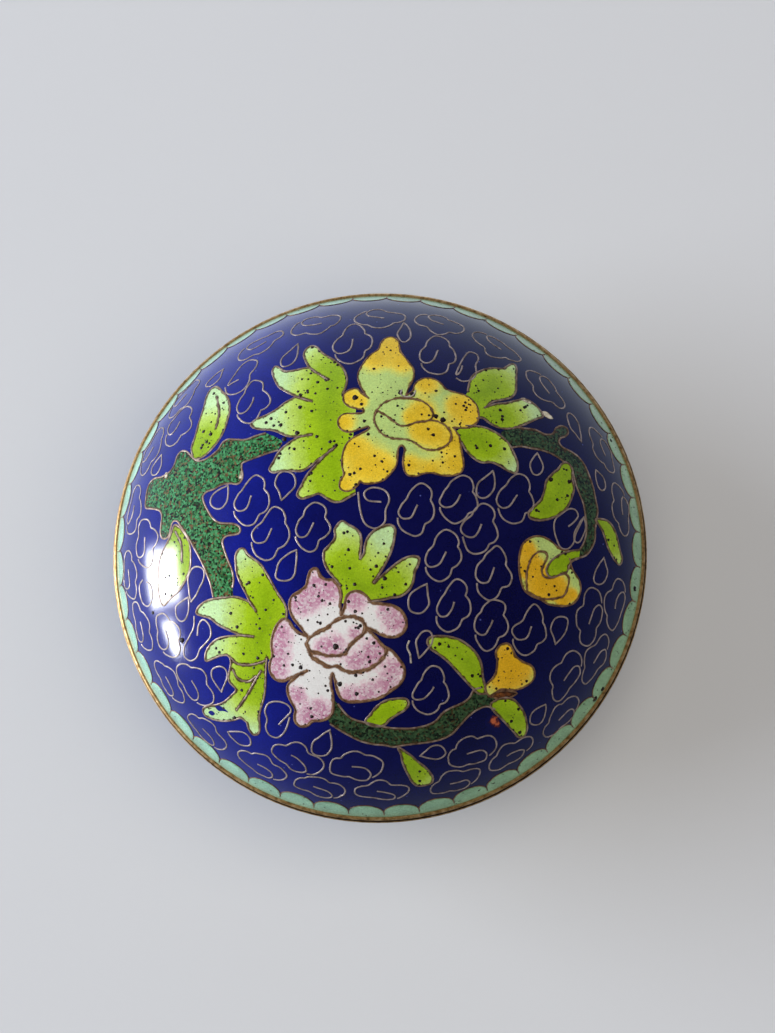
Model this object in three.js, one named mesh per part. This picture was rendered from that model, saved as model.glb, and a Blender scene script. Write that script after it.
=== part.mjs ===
// A small round lidded box in cloisonne enamel. Two spun copper shells, a bowl and a domed lid,
// are enamelled inside and out. Each shell's edge is finished with a brass ring. The bowl's ring
// carries an upright collar inside the lid, so that the lid rests on it, centred, and lifts off.
// The bowl stands on a brass foot ring. The box is empty.
//
// Millimetres, +Z up. The origin is the centre of the underside of the foot ring.

import * as THREE from "three";

// The bowl and the lid share one flattened ball: an ellipsoid of revolution cut at its edge.
const ballRadius = 38.8; // semi-axis across the box
const ballHeight = 26; // semi-axis along Z
const edgeRadius = 37.6; // outside of a shell at its edge, where the ball is cut
const wall = 1.8; // copper with its enamel on both sides

// Brass rings
const lidRing = { inner: 35, outer: 38, height: 1, rounding: 0.35 };
const bowlRing = { outer: 38.3, height: 1, rounding: 0.35 };
const collar = { inner: 33.9, outer: 34.6, height: 2.5, lead: 0.25 }; // height stands above the ring
const foot = { inner: 18.7, outer: 20, height: 2.2, rounding: 0.35 };
const floorRadius = 20.2; // flat underside of the bowl, which the foot ring is soldered to

// How finely round shapes are divided
const segments = 64;
const lidSteps = 12;
const bowlSteps = 9;
const roundingSteps = 3;

// Height of an ellipse above its centre at a given radius, and the radius at a given height
const heightAt = (radius, a, b) => b * Math.sqrt(1 - (radius / a) ** 2);
const radiusAt = (height, a, b) => a * Math.sqrt(1 - (height / b) ** 2);

// The same ball, one wall further in
const innerRadius = ballRadius - wall;
const innerHeight = ballHeight - wall;

// How far each shell's edge stands off the ball's centre, and how deep the bowl is cut flat
const edgeOffset = heightAt(edgeRadius, ballRadius, ballHeight);
const floorDepth = heightAt(floorRadius, ballRadius, ballHeight);
const innerEdgeRadius = radiusAt(edgeOffset, innerRadius, innerHeight);
const innerFloorRadius = radiusAt(floorDepth - wall, innerRadius, innerHeight);

// Levels from the ground up
const bowlUnderside = foot.height;
const bowlEdge = bowlUnderside + floorDepth - edgeOffset;
const lidSeat = bowlEdge + bowlRing.height;
const lidEdge = lidSeat + lidRing.height;

// Points on an ellipse from one radius to another, evenly spaced in the ellipse's own angle.
// up is 1 for the upper half and -1 for the lower; centre is the height of the ellipse's centre.
function ellipseArc(from, to, a, b, centre, up, steps) {
  const start = Math.asin(from / a);
  const end = Math.asin(to / a);
  return Array.from({ length: steps + 1 }, (_, i) => {
    const angle = start + ((end - start) * i) / steps;
    return [a * Math.sin(angle), centre + up * b * Math.cos(angle)];
  });
}

// A rounded convex corner from (x, z): the quarter circle between two directions, in degrees
function roundedCorner(x, z, radius, fromDegrees, toDegrees) {
  return Array.from({ length: roundingSteps + 1 }, (_, i) => {
    const share = i / roundingSteps;
    const angle = THREE.MathUtils.degToRad(fromDegrees + (toDegrees - fromDegrees) * share);
    return [x + radius * Math.cos(angle), z + radius * Math.sin(angle)];
  });
}

// Turns a profile of [radius, height] pairs about Z. It runs counter-clockwise with the radius
// to the right, from the axis to the axis or round a closed loop.
function turned(name, profile, material) {
  const points = profile.map(([radius, height]) => new THREE.Vector2(radius, height));
  const geometry = new THREE.LatheGeometry(points, segments);
  geometry.rotateX(Math.PI / 2);
  const mesh = new THREE.Mesh(geometry, material);
  mesh.name = name;
  return mesh;
}

const closedLoop = (profile) => [...profile, profile[0]];

// The domed lid: down the inside from the top, across the edge, and up the outside
function lid(material) {
  const centre = lidEdge - edgeOffset;
  const inside = ellipseArc(0, innerEdgeRadius, innerRadius, innerHeight, centre, 1, lidSteps);
  const outside = ellipseArc(edgeRadius, 0, ballRadius, ballHeight, centre, 1, lidSteps);
  return turned("lid", [...inside, ...outside], material);
}

// The bowl: the same curve turned over and cut flat where the foot ring is soldered
function bowl(material) {
  const centre = bowlEdge + edgeOffset;
  const outside = ellipseArc(floorRadius, edgeRadius, ballRadius, ballHeight, centre, -1, bowlSteps);
  const inside = ellipseArc(
    innerEdgeRadius, innerFloorRadius, innerRadius, innerHeight, centre, -1, bowlSteps,
  );
  return turned("bowl", [[0, bowlUnderside], ...outside, ...inside, [0, bowlUnderside + wall]], material);
}

// A flat brass ring with a rounded outer edge, soldered under the lid's edge
function lidRim(material) {
  const { inner, outer, height, rounding } = lidRing;
  return turned("lid_rim", closedLoop([
    [inner, lidSeat],
    ...roundedCorner(outer - rounding, lidSeat + rounding, rounding, -90, 0),
    ...roundedCorner(outer - rounding, lidSeat + height - rounding, rounding, 0, 90),
    [inner, lidSeat + height],
  ]), material);
}

// The bowl's ring and the collar that stands on it, which are one L-shaped piece
function bowlRim(material) {
  const { outer, height, rounding } = bowlRing;
  const top = bowlEdge + height;
  const collarTop = top + collar.height;
  return turned("bowl_rim", closedLoop([
    [collar.inner, bowlEdge],
    ...roundedCorner(outer - rounding, bowlEdge + rounding, rounding, -90, 0),
    ...roundedCorner(outer - rounding, top - rounding, rounding, 0, 90),
    [collar.outer, top],
    [collar.outer, collarTop - collar.lead],
    [collar.outer - collar.lead, collarTop],
    [collar.inner, collarTop],
  ]), material);
}

// The foot ring that the box stands on
function footRing(material) {
  const { inner, outer, height, rounding } = foot;
  return turned("foot_ring", closedLoop([
    [inner, 0],
    ...roundedCorner(outer - rounding, rounding, rounding, -90, 0),
    [outer, height],
    [inner, height],
  ]), material);
}

const cobaltEnamel = new THREE.MeshStandardMaterial({ color: "#1d1f7a", roughness: 0.12, metalness: 0 });
const agedBrass = new THREE.MeshStandardMaterial({ color: "#b08d4c", roughness: 0.38, metalness: 1 });

const box = new THREE.Group();
box.add(footRing(agedBrass));
box.add(bowl(cobaltEnamel));
box.add(bowlRim(agedBrass));
box.add(lidRim(agedBrass));
box.add(lid(cobaltEnamel));

export default box;
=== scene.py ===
# Cloisonne enamel box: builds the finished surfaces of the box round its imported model
import math

import bpy
import numpy as np
from mathutils import Matrix, Vector
from mathutils.geometry import delaunay_2d_cdt


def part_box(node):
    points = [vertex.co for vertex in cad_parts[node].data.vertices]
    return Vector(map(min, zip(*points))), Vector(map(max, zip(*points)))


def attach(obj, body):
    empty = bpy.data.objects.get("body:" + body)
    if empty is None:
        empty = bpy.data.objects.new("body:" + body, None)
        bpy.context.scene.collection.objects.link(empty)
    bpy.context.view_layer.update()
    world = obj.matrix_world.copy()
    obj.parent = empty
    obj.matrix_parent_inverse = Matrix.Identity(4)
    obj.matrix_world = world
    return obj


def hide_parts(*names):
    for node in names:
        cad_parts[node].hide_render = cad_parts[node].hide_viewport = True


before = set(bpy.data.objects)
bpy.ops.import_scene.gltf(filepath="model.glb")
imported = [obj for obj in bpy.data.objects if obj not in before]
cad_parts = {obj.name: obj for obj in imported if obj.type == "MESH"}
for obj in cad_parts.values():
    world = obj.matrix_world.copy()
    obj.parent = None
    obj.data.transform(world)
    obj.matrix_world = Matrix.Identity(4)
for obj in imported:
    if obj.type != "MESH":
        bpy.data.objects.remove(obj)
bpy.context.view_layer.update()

mm = 0.001


def levelsFromFrame():
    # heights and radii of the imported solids, in millimetres
    low, high = {}, {}
    for node in ("lid", "bowl", "lid_rim", "bowl_rim", "foot_ring"):
        low[node], high[node] = (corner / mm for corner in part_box(node))
    return {
        "lidEdge": low["lid"].z, "edgeRadius": high["lid"].x,
        "bowlEdge": high["bowl"].z, "bowlUnderside": low["bowl"].z,
        "lidSeat": low["lid_rim"].z, "lidRingRadius": high["lid_rim"].x,
        "bowlRingRadius": high["bowl_rim"].x, "collarTop": high["bowl_rim"].z,
        "footRadius": high["foot_ring"].x, "footTop": high["foot_ring"].z,
    }


level = levelsFromFrame()

# The flattened ball that both shells are cut from, and their walls, in mm. A shell's outside stays
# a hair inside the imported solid, so that its wires, which stand proud of it, end about level with
# that solid.
ball = {
    "radius": 38.8,
    "height": 26.0,      # half its height
    "wall": 1.7,         # from the ball to the inside of a shell
    "wireRoom": 0.08,    # from the ball to the outside of a shell
}
# how far the shells' edge lies from the middle of the ball
edgeDepth = ball["height"] * math.sqrt(1 - (level["edgeRadius"] / ball["radius"]) ** 2)


def hexColor(text):
    # sRGB hex to linear
    values = [int(text[i:i + 2], 16) / 255 for i in (1, 3, 5)]
    linear = [c / 12.92 if c <= 0.04045 else ((c + 0.055) / 1.055) ** 2.4 for c in values]
    return (*linear, 1.0)


def perMetre(sizeMm):
    # the scale of a pattern whose features are about this size
    return 1 / (sizeMm * mm)


def addNode(tree, kind, **values):
    # One node. Lower-case names are its own settings, the others its inputs, by name or by number as
    # "i0". An input takes a plain value, a hex colour, a socket, or a node for its output in use.
    node = tree.nodes.new(kind)
    for key, value in values.items():
        byNumber = key[0] == "i" and key[1:].isdigit()
        if key[0].islower() and not byNumber:
            setattr(node, key, value)
            continue
        socket = node.inputs[int(key[1:]) if byNumber else key.replace("_", " ")]
        if isinstance(value, bpy.types.Node):
            value = next(out for out in value.outputs if out.enabled)
        if isinstance(value, bpy.types.NodeSocket):
            tree.links.new(value, socket)
        else:
            isColor = isinstance(value, str) and value.startswith("#")
            socket.default_value = hexColor(value) if isColor else value
    return node


def newObject(name, data):
    obj = bpy.data.objects.new(name, data)
    bpy.context.scene.collection.objects.link(obj)
    return obj


helpers = []    # what the trees read, removed once every piece is made


def newHelper(name, data):
    obj = newObject(name, data)
    obj.hide_render = True
    helpers.append(obj)
    return obj


def newTree(name, inputs):
    # a Geometry Nodes tree with named inputs; returns the tree, its input node and its output node
    tree = bpy.data.node_groups.new(name, "GeometryNodeTree")
    tree.interface.new_socket("Geometry", in_out="INPUT", socket_type="NodeSocketGeometry")
    tree.interface.new_socket("Geometry", in_out="OUTPUT", socket_type="NodeSocketGeometry")
    for label, kind in inputs.items():
        tree.interface.new_socket(label, in_out="INPUT", socket_type="NodeSocket" + kind)
    return tree, tree.nodes.new("NodeGroupInput"), tree.nodes.new("NodeGroupOutput")


def grow(name, tree, inputs, base=None):
    # runs a tree on a base mesh and keeps the result as a plain mesh piece
    source = newObject(name + "Source", base or bpy.data.meshes.new(name))
    modifier = source.modifiers.new("nodes", "NODES")
    modifier.node_group = tree
    identifiers = {item.name: item.identifier for item in tree.interface.items_tree
                   if item.in_out == "INPUT"}
    for label, value in inputs.items():
        modifier[identifiers[label]] = value
    depsgraph = bpy.context.evaluated_depsgraph_get()
    result = bpy.data.meshes.new_from_object(source.evaluated_get(depsgraph), depsgraph=depsgraph)
    source.modifiers.remove(modifier)
    bpy.data.objects.remove(source)
    result.name = name
    return newObject(name, result)


def helperCurve(name, runs):
    # straight-sided runs, in millimetres, as a curve for the trees
    data = bpy.data.curves.new(name, "CURVE")
    data.dimensions = "3D"
    for run in runs:
        spline = data.splines.new("POLY")
        spline.points.add(len(run) - 1)
        spline.points.foreach_set("co", [c for p in run for c in (p[0] * mm, p[1] * mm, p[2] * mm, 1)])
    return newHelper(name, data)


def helperMarks(name, rows):
    # points for the trees: each row is u, v, turn in degrees, and its scale both ways
    mesh = bpy.data.meshes.new(name)
    mesh.from_pydata([(row[0] * mm, row[1] * mm, 0) for row in rows], [], [])
    turn = mesh.attributes.new("turn", "FLOAT", "POINT")
    turn.data.foreach_set("value", [math.radians(row[2]) for row in rows])
    size = mesh.attributes.new("size", "FLOAT_VECTOR", "POINT")
    size.data.foreach_set("vector", [c for row in rows for c in (row[3], row[4], 1.0)])
    return newHelper(name, mesh)


def ellipseRun(inset, fromRadius, toRadius, centre, up, steps):
    # points on the ball, inset by some mm, from one radius to another; up is 1 or -1
    a, b = ball["radius"] - inset, ball["height"] - inset
    start, stop = math.asin(fromRadius / a), math.asin(toRadius / a)
    angles = [start + (stop - start) * i / steps for i in range(steps + 1)]
    return [(a * math.sin(t), centre + up * b * math.cos(t)) for t in angles]


def radiusAtEdge(inset):
    # where a surface inset from the ball meets the plane of the shells' edge
    a, b = ball["radius"] - inset, ball["height"] - inset
    return a * math.sqrt(1 - (edgeDepth / b) ** 2)


# The ornament is drawn flat, as on paper: u and v run along the surface from the middle of the
# shell, and the third number is height above the enamel. A node group lays it on the dome.
def domeProfile(steps=240):
    # the outside of a shell as a curve from its middle to its edge; height 0 is at the edge
    room = ball["wireRoom"]
    points = ellipseRun(room, 0, radiusAtEdge(room), -edgeDepth, 1, steps)
    return helperCurve("domeProfile", [[(r, 0, z) for r, z in points]])


def layOnDomeGroup():
    tree, start, end = newTree("layOnDome", {
        "Profile": "Object", "Turned Over": "Float", "Height": "Float"})
    position = addNode(tree, "GeometryNodeInputPosition")
    flat = addNode(tree, "ShaderNodeVectorMath", operation="MULTIPLY", i0=position, i1=(1, 1, 0))
    reach = addNode(tree, "ShaderNodeVectorMath", operation="LENGTH", i0=flat)
    heading = addNode(tree, "ShaderNodeVectorMath", operation="NORMALIZE", i0=flat)
    lift = addNode(tree, "ShaderNodeSeparateXYZ", i0=position).outputs[2]
    profile = addNode(tree, "GeometryNodeObjectInfo", Object=start.outputs["Profile"])
    sample = addNode(tree, "GeometryNodeSampleCurve", mode="LENGTH",
                     Curves=profile.outputs["Geometry"], Length=reach.outputs["Value"])
    place = addNode(tree, "ShaderNodeSeparateXYZ", i0=sample.outputs["Position"])
    tangent = addNode(tree, "ShaderNodeSeparateXYZ", i0=sample.outputs["Tangent"])
    outward = addNode(tree, "ShaderNodeMath", operation="MULTIPLY", i0=tangent.outputs[2], i1=-1.0)
    radius = addNode(tree, "ShaderNodeMath", operation="MULTIPLY_ADD", i0=lift, i1=outward, i2=place)
    height = addNode(tree, "ShaderNodeMath", operation="MULTIPLY_ADD",
                     i0=lift, i1=tangent.outputs[0], i2=place.outputs[2])
    around = addNode(tree, "ShaderNodeVectorMath", operation="SCALE", i0=heading, Scale=radius)
    rise = addNode(tree, "ShaderNodeCombineXYZ", Z=height)
    laid = addNode(tree, "ShaderNodeVectorMath", operation="ADD", i0=around, i1=rise)
    moved = addNode(tree, "GeometryNodeSetPosition", Geometry=start, Position=laid)
    rotation = addNode(tree, "ShaderNodeCombineXYZ", X=start.outputs["Turned Over"])
    raised = addNode(tree, "ShaderNodeCombineXYZ", Z=start.outputs["Height"])
    placed = addNode(tree, "GeometryNodeTransform", Geometry=moved, Translation=raised,
                     Rotation=rotation)
    tree.links.new(placed.outputs[0], end.inputs[0])
    return tree


def finishTree(tree, start, end, geometry):
    # every tree ends by making its instances real and giving them their finish
    real = addNode(tree, "GeometryNodeRealizeInstances", Geometry=geometry)
    smooth = addNode(tree, "GeometryNodeSetShadeSmooth", Geometry=real)
    finish = addNode(tree, "GeometryNodeSetMaterial", Geometry=smooth,
                     Material=start.outputs["Finish"])
    tree.links.new(finish.outputs[0], end.inputs[0])


def layDown(tree, start, geometry):
    return addNode(tree, "GeometryNodeGroup", node_tree=layOnDome, Geometry=geometry,
                   Profile=start.outputs["Profile"], Turned_Over=start.outputs["Turned Over"],
                   Height=start.outputs["Height"])


def copiesOnMarks(tree, start, drawing):
    # the drawing once, or turned and sized at every mark
    marks = addNode(tree, "GeometryNodeObjectInfo", Object=start.outputs["Marks"])
    turn = addNode(tree, "GeometryNodeInputNamedAttribute", data_type="FLOAT", Name="turn")
    size = addNode(tree, "GeometryNodeInputNamedAttribute", data_type="FLOAT_VECTOR", Name="size")
    spin = addNode(tree, "ShaderNodeCombineXYZ", Z=turn)
    copies = addNode(tree, "GeometryNodeInstanceOnPoints", Points=marks.outputs["Geometry"],
                     Instance=drawing, Rotation=spin, Scale=size)
    real = addNode(tree, "GeometryNodeRealizeInstances", Geometry=copies)
    return addNode(tree, "GeometryNodeSwitch", input_type="GEOMETRY",
                   Switch=start.outputs["Repeat"], i1=drawing, i2=real)


placing = {"Marks": "Object", "Repeat": "Bool", "Profile": "Object", "Turned Over": "Float",
           "Height": "Float", "Finish": "Material"}
treeForm = {
    "bend": 4.0,         # mm, the length of the small bends that a hand leaves in a wire
    "wireSides": 8,
    "weld": 0.002,       # mm, within which the points of a turned piece join
}


def handBent(tree, start, curves):
    # shifts wires a little, so that no two copies of a drawing are quite alike
    place = addNode(tree, "GeometryNodeInputPosition")
    noise = addNode(tree, "ShaderNodeTexNoise", Vector=place, Scale=perMetre(treeForm["bend"]),
                    Detail=1.0)
    centred = addNode(tree, "ShaderNodeVectorMath", operation="SUBTRACT",
                      i0=noise.outputs["Color"], i1=(0.5, 0.5, 0.5))
    flat = addNode(tree, "ShaderNodeVectorMath", operation="MULTIPLY", i0=centred, i1=(1, 1, 0))
    shift = addNode(tree, "ShaderNodeVectorMath", operation="SCALE", i0=flat,
                    Scale=start.outputs["Sway"])
    return addNode(tree, "GeometryNodeSetPosition", Geometry=curves, Offset=shift)


def wireTree():
    # flattened wire along flat curves, laid on the dome
    tree, start, end = newTree("wires", {
        "Pattern": "Object", "Width": "Float", "Depth": "Float", "Lift": "Float", "Step": "Float",
        "Sway": "Float", **placing})
    pattern = addNode(tree, "GeometryNodeObjectInfo", Object=start.outputs["Pattern"])
    chosen = copiesOnMarks(tree, start, pattern.outputs["Geometry"])
    even = addNode(tree, "GeometryNodeResampleCurve", mode="LENGTH", Curve=chosen,
                   Length=start.outputs["Step"])
    bent = handBent(tree, start, even)
    upright = addNode(tree, "GeometryNodeSetCurveNormal", mode="Z_UP", Curve=bent)
    section = addNode(tree, "GeometryNodeCurvePrimitiveCircle", Resolution=treeForm["wireSides"],
                      Radius=0.5)
    scale = addNode(tree, "ShaderNodeCombineXYZ", X=start.outputs["Width"],
                    Y=start.outputs["Depth"], Z=1.0)
    flatten = addNode(tree, "GeometryNodeTransform", Geometry=section, Scale=scale)
    wire = addNode(tree, "GeometryNodeCurveToMesh", Curve=upright, Profile_Curve=flatten,
                   Fill_Caps=True)
    up = addNode(tree, "ShaderNodeCombineXYZ", Z=start.outputs["Lift"])
    raised = addNode(tree, "GeometryNodeSetPosition", Geometry=wire, Offset=up)
    finishTree(tree, start, end, layDown(tree, start, raised))
    return tree


def cellTree():
    # flat cells of enamel, laid on the dome
    tree, start, end = newTree("cells", placing)
    chosen = copiesOnMarks(tree, start, start)
    finishTree(tree, start, end, layDown(tree, start, chosen))
    return tree


def turnedTree():
    # a profile turned about Z, as on a lathe: each point of the profile becomes one circle
    tree, start, end = newTree("turned", {"Profile": "Object", "Segments": "Int",
                                          "Finish": "Material"})
    profile = addNode(tree, "GeometryNodeObjectInfo", Object=start.outputs["Profile"])
    points = addNode(tree, "GeometryNodeCurveToPoints", mode="EVALUATED",
                     Curve=profile.outputs["Geometry"])
    count = addNode(tree, "GeometryNodeAttributeDomainSize", component="POINTCLOUD",
                    Geometry=points).outputs["Point Count"]
    columns = addNode(tree, "ShaderNodeMath", operation="ADD", i0=start.outputs["Segments"], i1=1.0)
    grid = addNode(tree, "GeometryNodeMeshGrid", Vertices_X=columns, Vertices_Y=count)
    index = addNode(tree, "GeometryNodeInputIndex")
    row = addNode(tree, "ShaderNodeMath", operation="MODULO", i0=index, i1=count)
    whole = addNode(tree, "ShaderNodeMath", operation="SUBTRACT", i0=index, i1=row)
    column = addNode(tree, "ShaderNodeMath", operation="DIVIDE", i0=whole, i1=count)
    position = addNode(tree, "GeometryNodeInputPosition")
    sample = addNode(tree, "GeometryNodeSampleIndex", data_type="FLOAT_VECTOR", Geometry=points,
                     Value=position, Index=row)
    share = addNode(tree, "ShaderNodeMath", operation="DIVIDE", i0=column,
                    i1=start.outputs["Segments"])
    angle = addNode(tree, "ShaderNodeMath", operation="MULTIPLY", i0=share, i1=math.tau)
    place = addNode(tree, "ShaderNodeSeparateXYZ", i0=sample)
    spoke = addNode(tree, "ShaderNodeCombineXYZ", X=place.outputs[0], Z=place.outputs[2])
    spot = addNode(tree, "ShaderNodeVectorRotate", rotation_type="Z_AXIS", Vector=spoke, Angle=angle)
    shaped = addNode(tree, "GeometryNodeSetPosition", Geometry=grid, Position=spot)
    merged = addNode(tree, "GeometryNodeMergeByDistance", Geometry=shaped,
                     Distance=treeForm["weld"] * mm)
    finishTree(tree, start, end, merged)
    return tree


domeCurve = domeProfile()
layOnDome = layOnDomeGroup()
wires = wireTree()
cells = cellTree()
turned = turnedTree()
onLid = {"Profile": domeCurve, "Turned Over": 0.0, "Height": level["lidEdge"] * mm}
onBowl = {"Profile": domeCurve, "Turned Over": math.pi, "Height": level["bowlEdge"] * mm}
print("trees made")


# Drawing. A figure's outline is a closed chain of smooth runs, in millimetres on the flat pattern.
# Each run ends where the next one starts, and makes a corner there.
def polar(reach, angle):
    return reach * math.cos(angle), reach * math.sin(angle)


def bend(p0, p1, p2, p3, share):
    # a point between p1 and p2 of the centripetal curve through all four
    gaps = [max(np.linalg.norm(b - a), 1e-6) ** 0.5 for a, b in ((p0, p1), (p1, p2), (p2, p3))]
    t0, t1, t2, t3 = 0.0, gaps[0], gaps[0] + gaps[1], sum(gaps)
    t = t1 + (t2 - t1) * share
    a1 = ((t1 - t) * p0 + (t - t0) * p1) / (t1 - t0)
    a2 = ((t2 - t) * p1 + (t - t1) * p2) / (t2 - t1)
    a3 = ((t3 - t) * p2 + (t - t2) * p3) / (t3 - t2)
    b1 = ((t2 - t) * a1 + (t - t0) * a2) / (t2 - t0)
    b2 = ((t3 - t) * a2 + (t - t1) * a3) / (t3 - t1)
    return ((t2 - t) * b1 + (t - t1) * b2) / (t2 - t1)


def smoothRun(points, step=0.25, closed=False):
    # a smooth curve through the points, cut into even steps
    plain = [np.array(p, float) for p in points]
    if closed:
        plain = [plain[-1], *plain, plain[0], plain[1]]
    else:
        plain = [2 * plain[0] - plain[1], *plain, 2 * plain[-1] - plain[-2]]
    shares = np.linspace(0, 1, 9)[:-1]
    run = [bend(*four, share) for four in zip(plain, plain[1:], plain[2:], plain[3:])
           for share in shares]
    run = np.array([*run, plain[-2]])
    along = np.concatenate([[0], np.cumsum(np.linalg.norm(np.diff(run, axis=0), axis=1))])
    stops = np.linspace(0, along[-1], max(3, round(along[-1] / step)) + 1)
    even = np.column_stack([np.interp(stops, along, run[:, k]) for k in (0, 1)])
    return even[:-1] if closed else even


def smoothChain(runs):
    # smooth runs joined end to end, with a corner where two meet
    parts = [smoothRun(run) for run in runs]
    return np.vstack([part[:-1] for part in parts[:-1]] + parts[-1:])


def figureRuns(outline):
    # the runs of an outline, each one carried on to the start of the next
    if len(outline) == 1:
        return [smoothRun(outline[0], closed=True)]
    return [smoothRun([*run, after[0]]) for run, after in zip(outline, outline[1:] + outline[:1])]


def outlineLoop(outline):
    runs = figureRuns(outline)
    return runs[0] if len(runs) == 1 else np.vstack([run[:-1] for run in runs])


def insideLoop(points, loop):
    # counts how often a line from each point to the right crosses the loop
    x, y = points[:, :1], points[:, 1:]
    ax, ay = loop.T
    bx, by = np.roll(loop, -1, axis=0).T
    climb = np.where(by == ay, 1e-12, by - ay)
    hits = ((ay > y) != (by > y)) & (x < (bx - ax) * (y - ay) / climb + ax)
    return hits.sum(1) % 2 == 1


def distanceTo(points, run):
    # from each point to the nearest place on an open run
    start, way = run[:-1], np.diff(run, axis=0)
    best = []
    # in batches, to spare memory
    for part in np.array_split(points, max(1, len(points) // 2000)):
        toPart = part[:, None] - start
        share = np.clip((toPart * way).sum(2) / np.maximum((way ** 2).sum(1), 1e-12), 0, 1)
        best.append(np.linalg.norm(toPart - share[..., None] * way, axis=2).min(1))
    return np.concatenate(best)


def spotShare(points, spots):
    # 1 in the inner quarter of a spot (u, v, radius), fading to 0 at its radius
    left = np.ones(len(points))
    for u, v, radius in spots:
        fade = np.clip((1 - np.hypot(points[:, 0] - u, points[:, 1] - v) / radius) / 0.75, 0, 1)
        left *= 1 - fade
    return 1 - left


cellForm = {
    "step": 0.32,        # mm between the points of a cell's face
    "rowShare": 0.866,   # of that between rows, for even triangles
    "margin": 0.5,       # of that kept clear along the outline
    "depth": 0.25,       # mm that a cell reaches into the shell
    "fringe": 3.0,       # mm, the furthest that the distance to a wire is kept
}


def cellPart(loop, rise):
    # a closed flat slab with the drawn outline: points, triangles and walls
    step = cellForm["step"]
    low, high = loop.min(0), loop.max(0)
    rows = np.arange(low[1], high[1], step * cellForm["rowShare"])
    grid = np.array([(u + k % 2 * step / 2, v) for k, v in enumerate(rows)
                     for u in np.arange(low[0], high[0], step)])
    grid = grid[insideLoop(grid, loop)]
    grid = grid[distanceTo(grid, np.vstack([loop, loop[:1]])) > step * cellForm["margin"]]
    count = len(loop)
    flat, _, faces, _, _, _ = delaunay_2d_cdt(
        [Vector(p) for p in np.vstack([loop, grid])],
        [(i, (i + 1) % count) for i in range(count)], [], 1, 1e-7)
    flat, faces = np.array(flat), np.array(faces)
    a, b, c = (flat[faces[:, k]] for k in range(3))
    turn = (b[:, 0] - a[:, 0]) * (c[:, 1] - a[:, 1]) - (b[:, 1] - a[:, 1]) * (c[:, 0] - a[:, 0])
    # all turned upward, and none without an area
    faces = np.where(turn[:, None] > 0, faces, faces[:, ::-1])[np.abs(turn) > 1e-9]
    sides = {(f[k], f[(k + 1) % 3]) for f in faces.tolist() for k in range(3)}
    rims = sorted((p, q) for p, q in sides if (q, p) not in sides)
    n = len(flat)
    points = [(u, v, rise) for u, v in flat] + [(u, v, -cellForm["depth"]) for u, v in flat]
    polygons = [tuple(f) for f in faces.tolist()]
    polygons += [(r + n, q + n, p + n) for p, q, r in faces.tolist()]
    polygons += [(q, p, p + n, q + n) for p, q in rims]
    sharp = rims + [(p + n, q + n) for p, q in rims]
    return np.vstack([flat, flat]), points, polygons, sharp


def cellMesh(name, figure):
    # joins slabs into one mesh. Its attributes carry each point's distance to the nearest wire,
    # in mm, and how far it has spread from the deeper colour to the paler one.
    points, polygons, fringe, spread, sharp = [], [], [], [], []
    for part in figure["cells"]:
        loop = outlineLoop(part["outline"])
        flat, partPoints, partPolygons, partSharp = cellPart(loop, figure["rise"])
        first = len(points)
        points += [(u * mm, v * mm, z * mm) for u, v, z in partPoints]
        polygons += [tuple(first + i for i in polygon) for polygon in partPolygons]
        sharp += [(first + p, first + q) for p, q in partSharp]
        reach = np.full(len(flat), cellForm["fringe"])
        for run in wiresOf(part):
            reach = np.minimum(reach, distanceTo(flat, run))
        fringe += reach.tolist()
        if "root" in part:
            away = distanceTo(flat, np.array(part["root"], float)) / part["reach"]
            spread += np.clip(away, 0, 1).tolist()
        else:
            spread += (1 - spotShare(flat, part.get("spots", []))).tolist()
    mesh = bpy.data.meshes.new(name)
    mesh.from_pydata(points, [], polygons)
    for label, values in (("fringe", fringe), ("spread", spread)):
        mesh.attributes.new(label, "FLOAT", "POINT").data.foreach_set("value", values)
    hard = {tuple(sorted(pair)) for pair in sharp}
    edgeFlags = [tuple(sorted(edge.vertices)) in hard for edge in mesh.edges]
    mesh.attributes.new("sharp_edge", "BOOLEAN", "EDGE").data.foreach_set("value", edgeFlags)
    return mesh


def wiresOf(part):
    # the wires of a figure: the runs of its outline that show, and the lines inside it
    runs = figureRuns(part["outline"])
    if len(runs) == 1:
        runs = [np.vstack([runs[0], runs[0][:1]])]
    hidden = part.get("hidden", ())
    shown = [run for k, run in enumerate(runs) if k not in hidden]
    return shown + [smoothRun(line) for line in part.get("lines", ())]


# The figures. "hidden" lists runs that pass under a neighbour and so carry no wire, and "lines" are
# wires inside an outline. "rise" is how many mm the cells stand above the blue, to settle overlaps.
# A cell's colour is deepest along its "root" and palest "reach" mm from there, or it is deepest in
# its "spots" (u, v, radius).
leafGlass = {"finish": "leafEnamel", "slot": "leaf_enamel", "wire": "leafWire", "rise": 0.024}
stemGlass = {"finish": "darkBranchEnamel", "slot": "branch_enamel", "wire": "leafWire", "rise": 0.012}
budGlass = {"finish": "amberEnamel", "slot": "yellow_enamel", "wire": "bronzeWire", "rise": 0.036}

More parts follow.
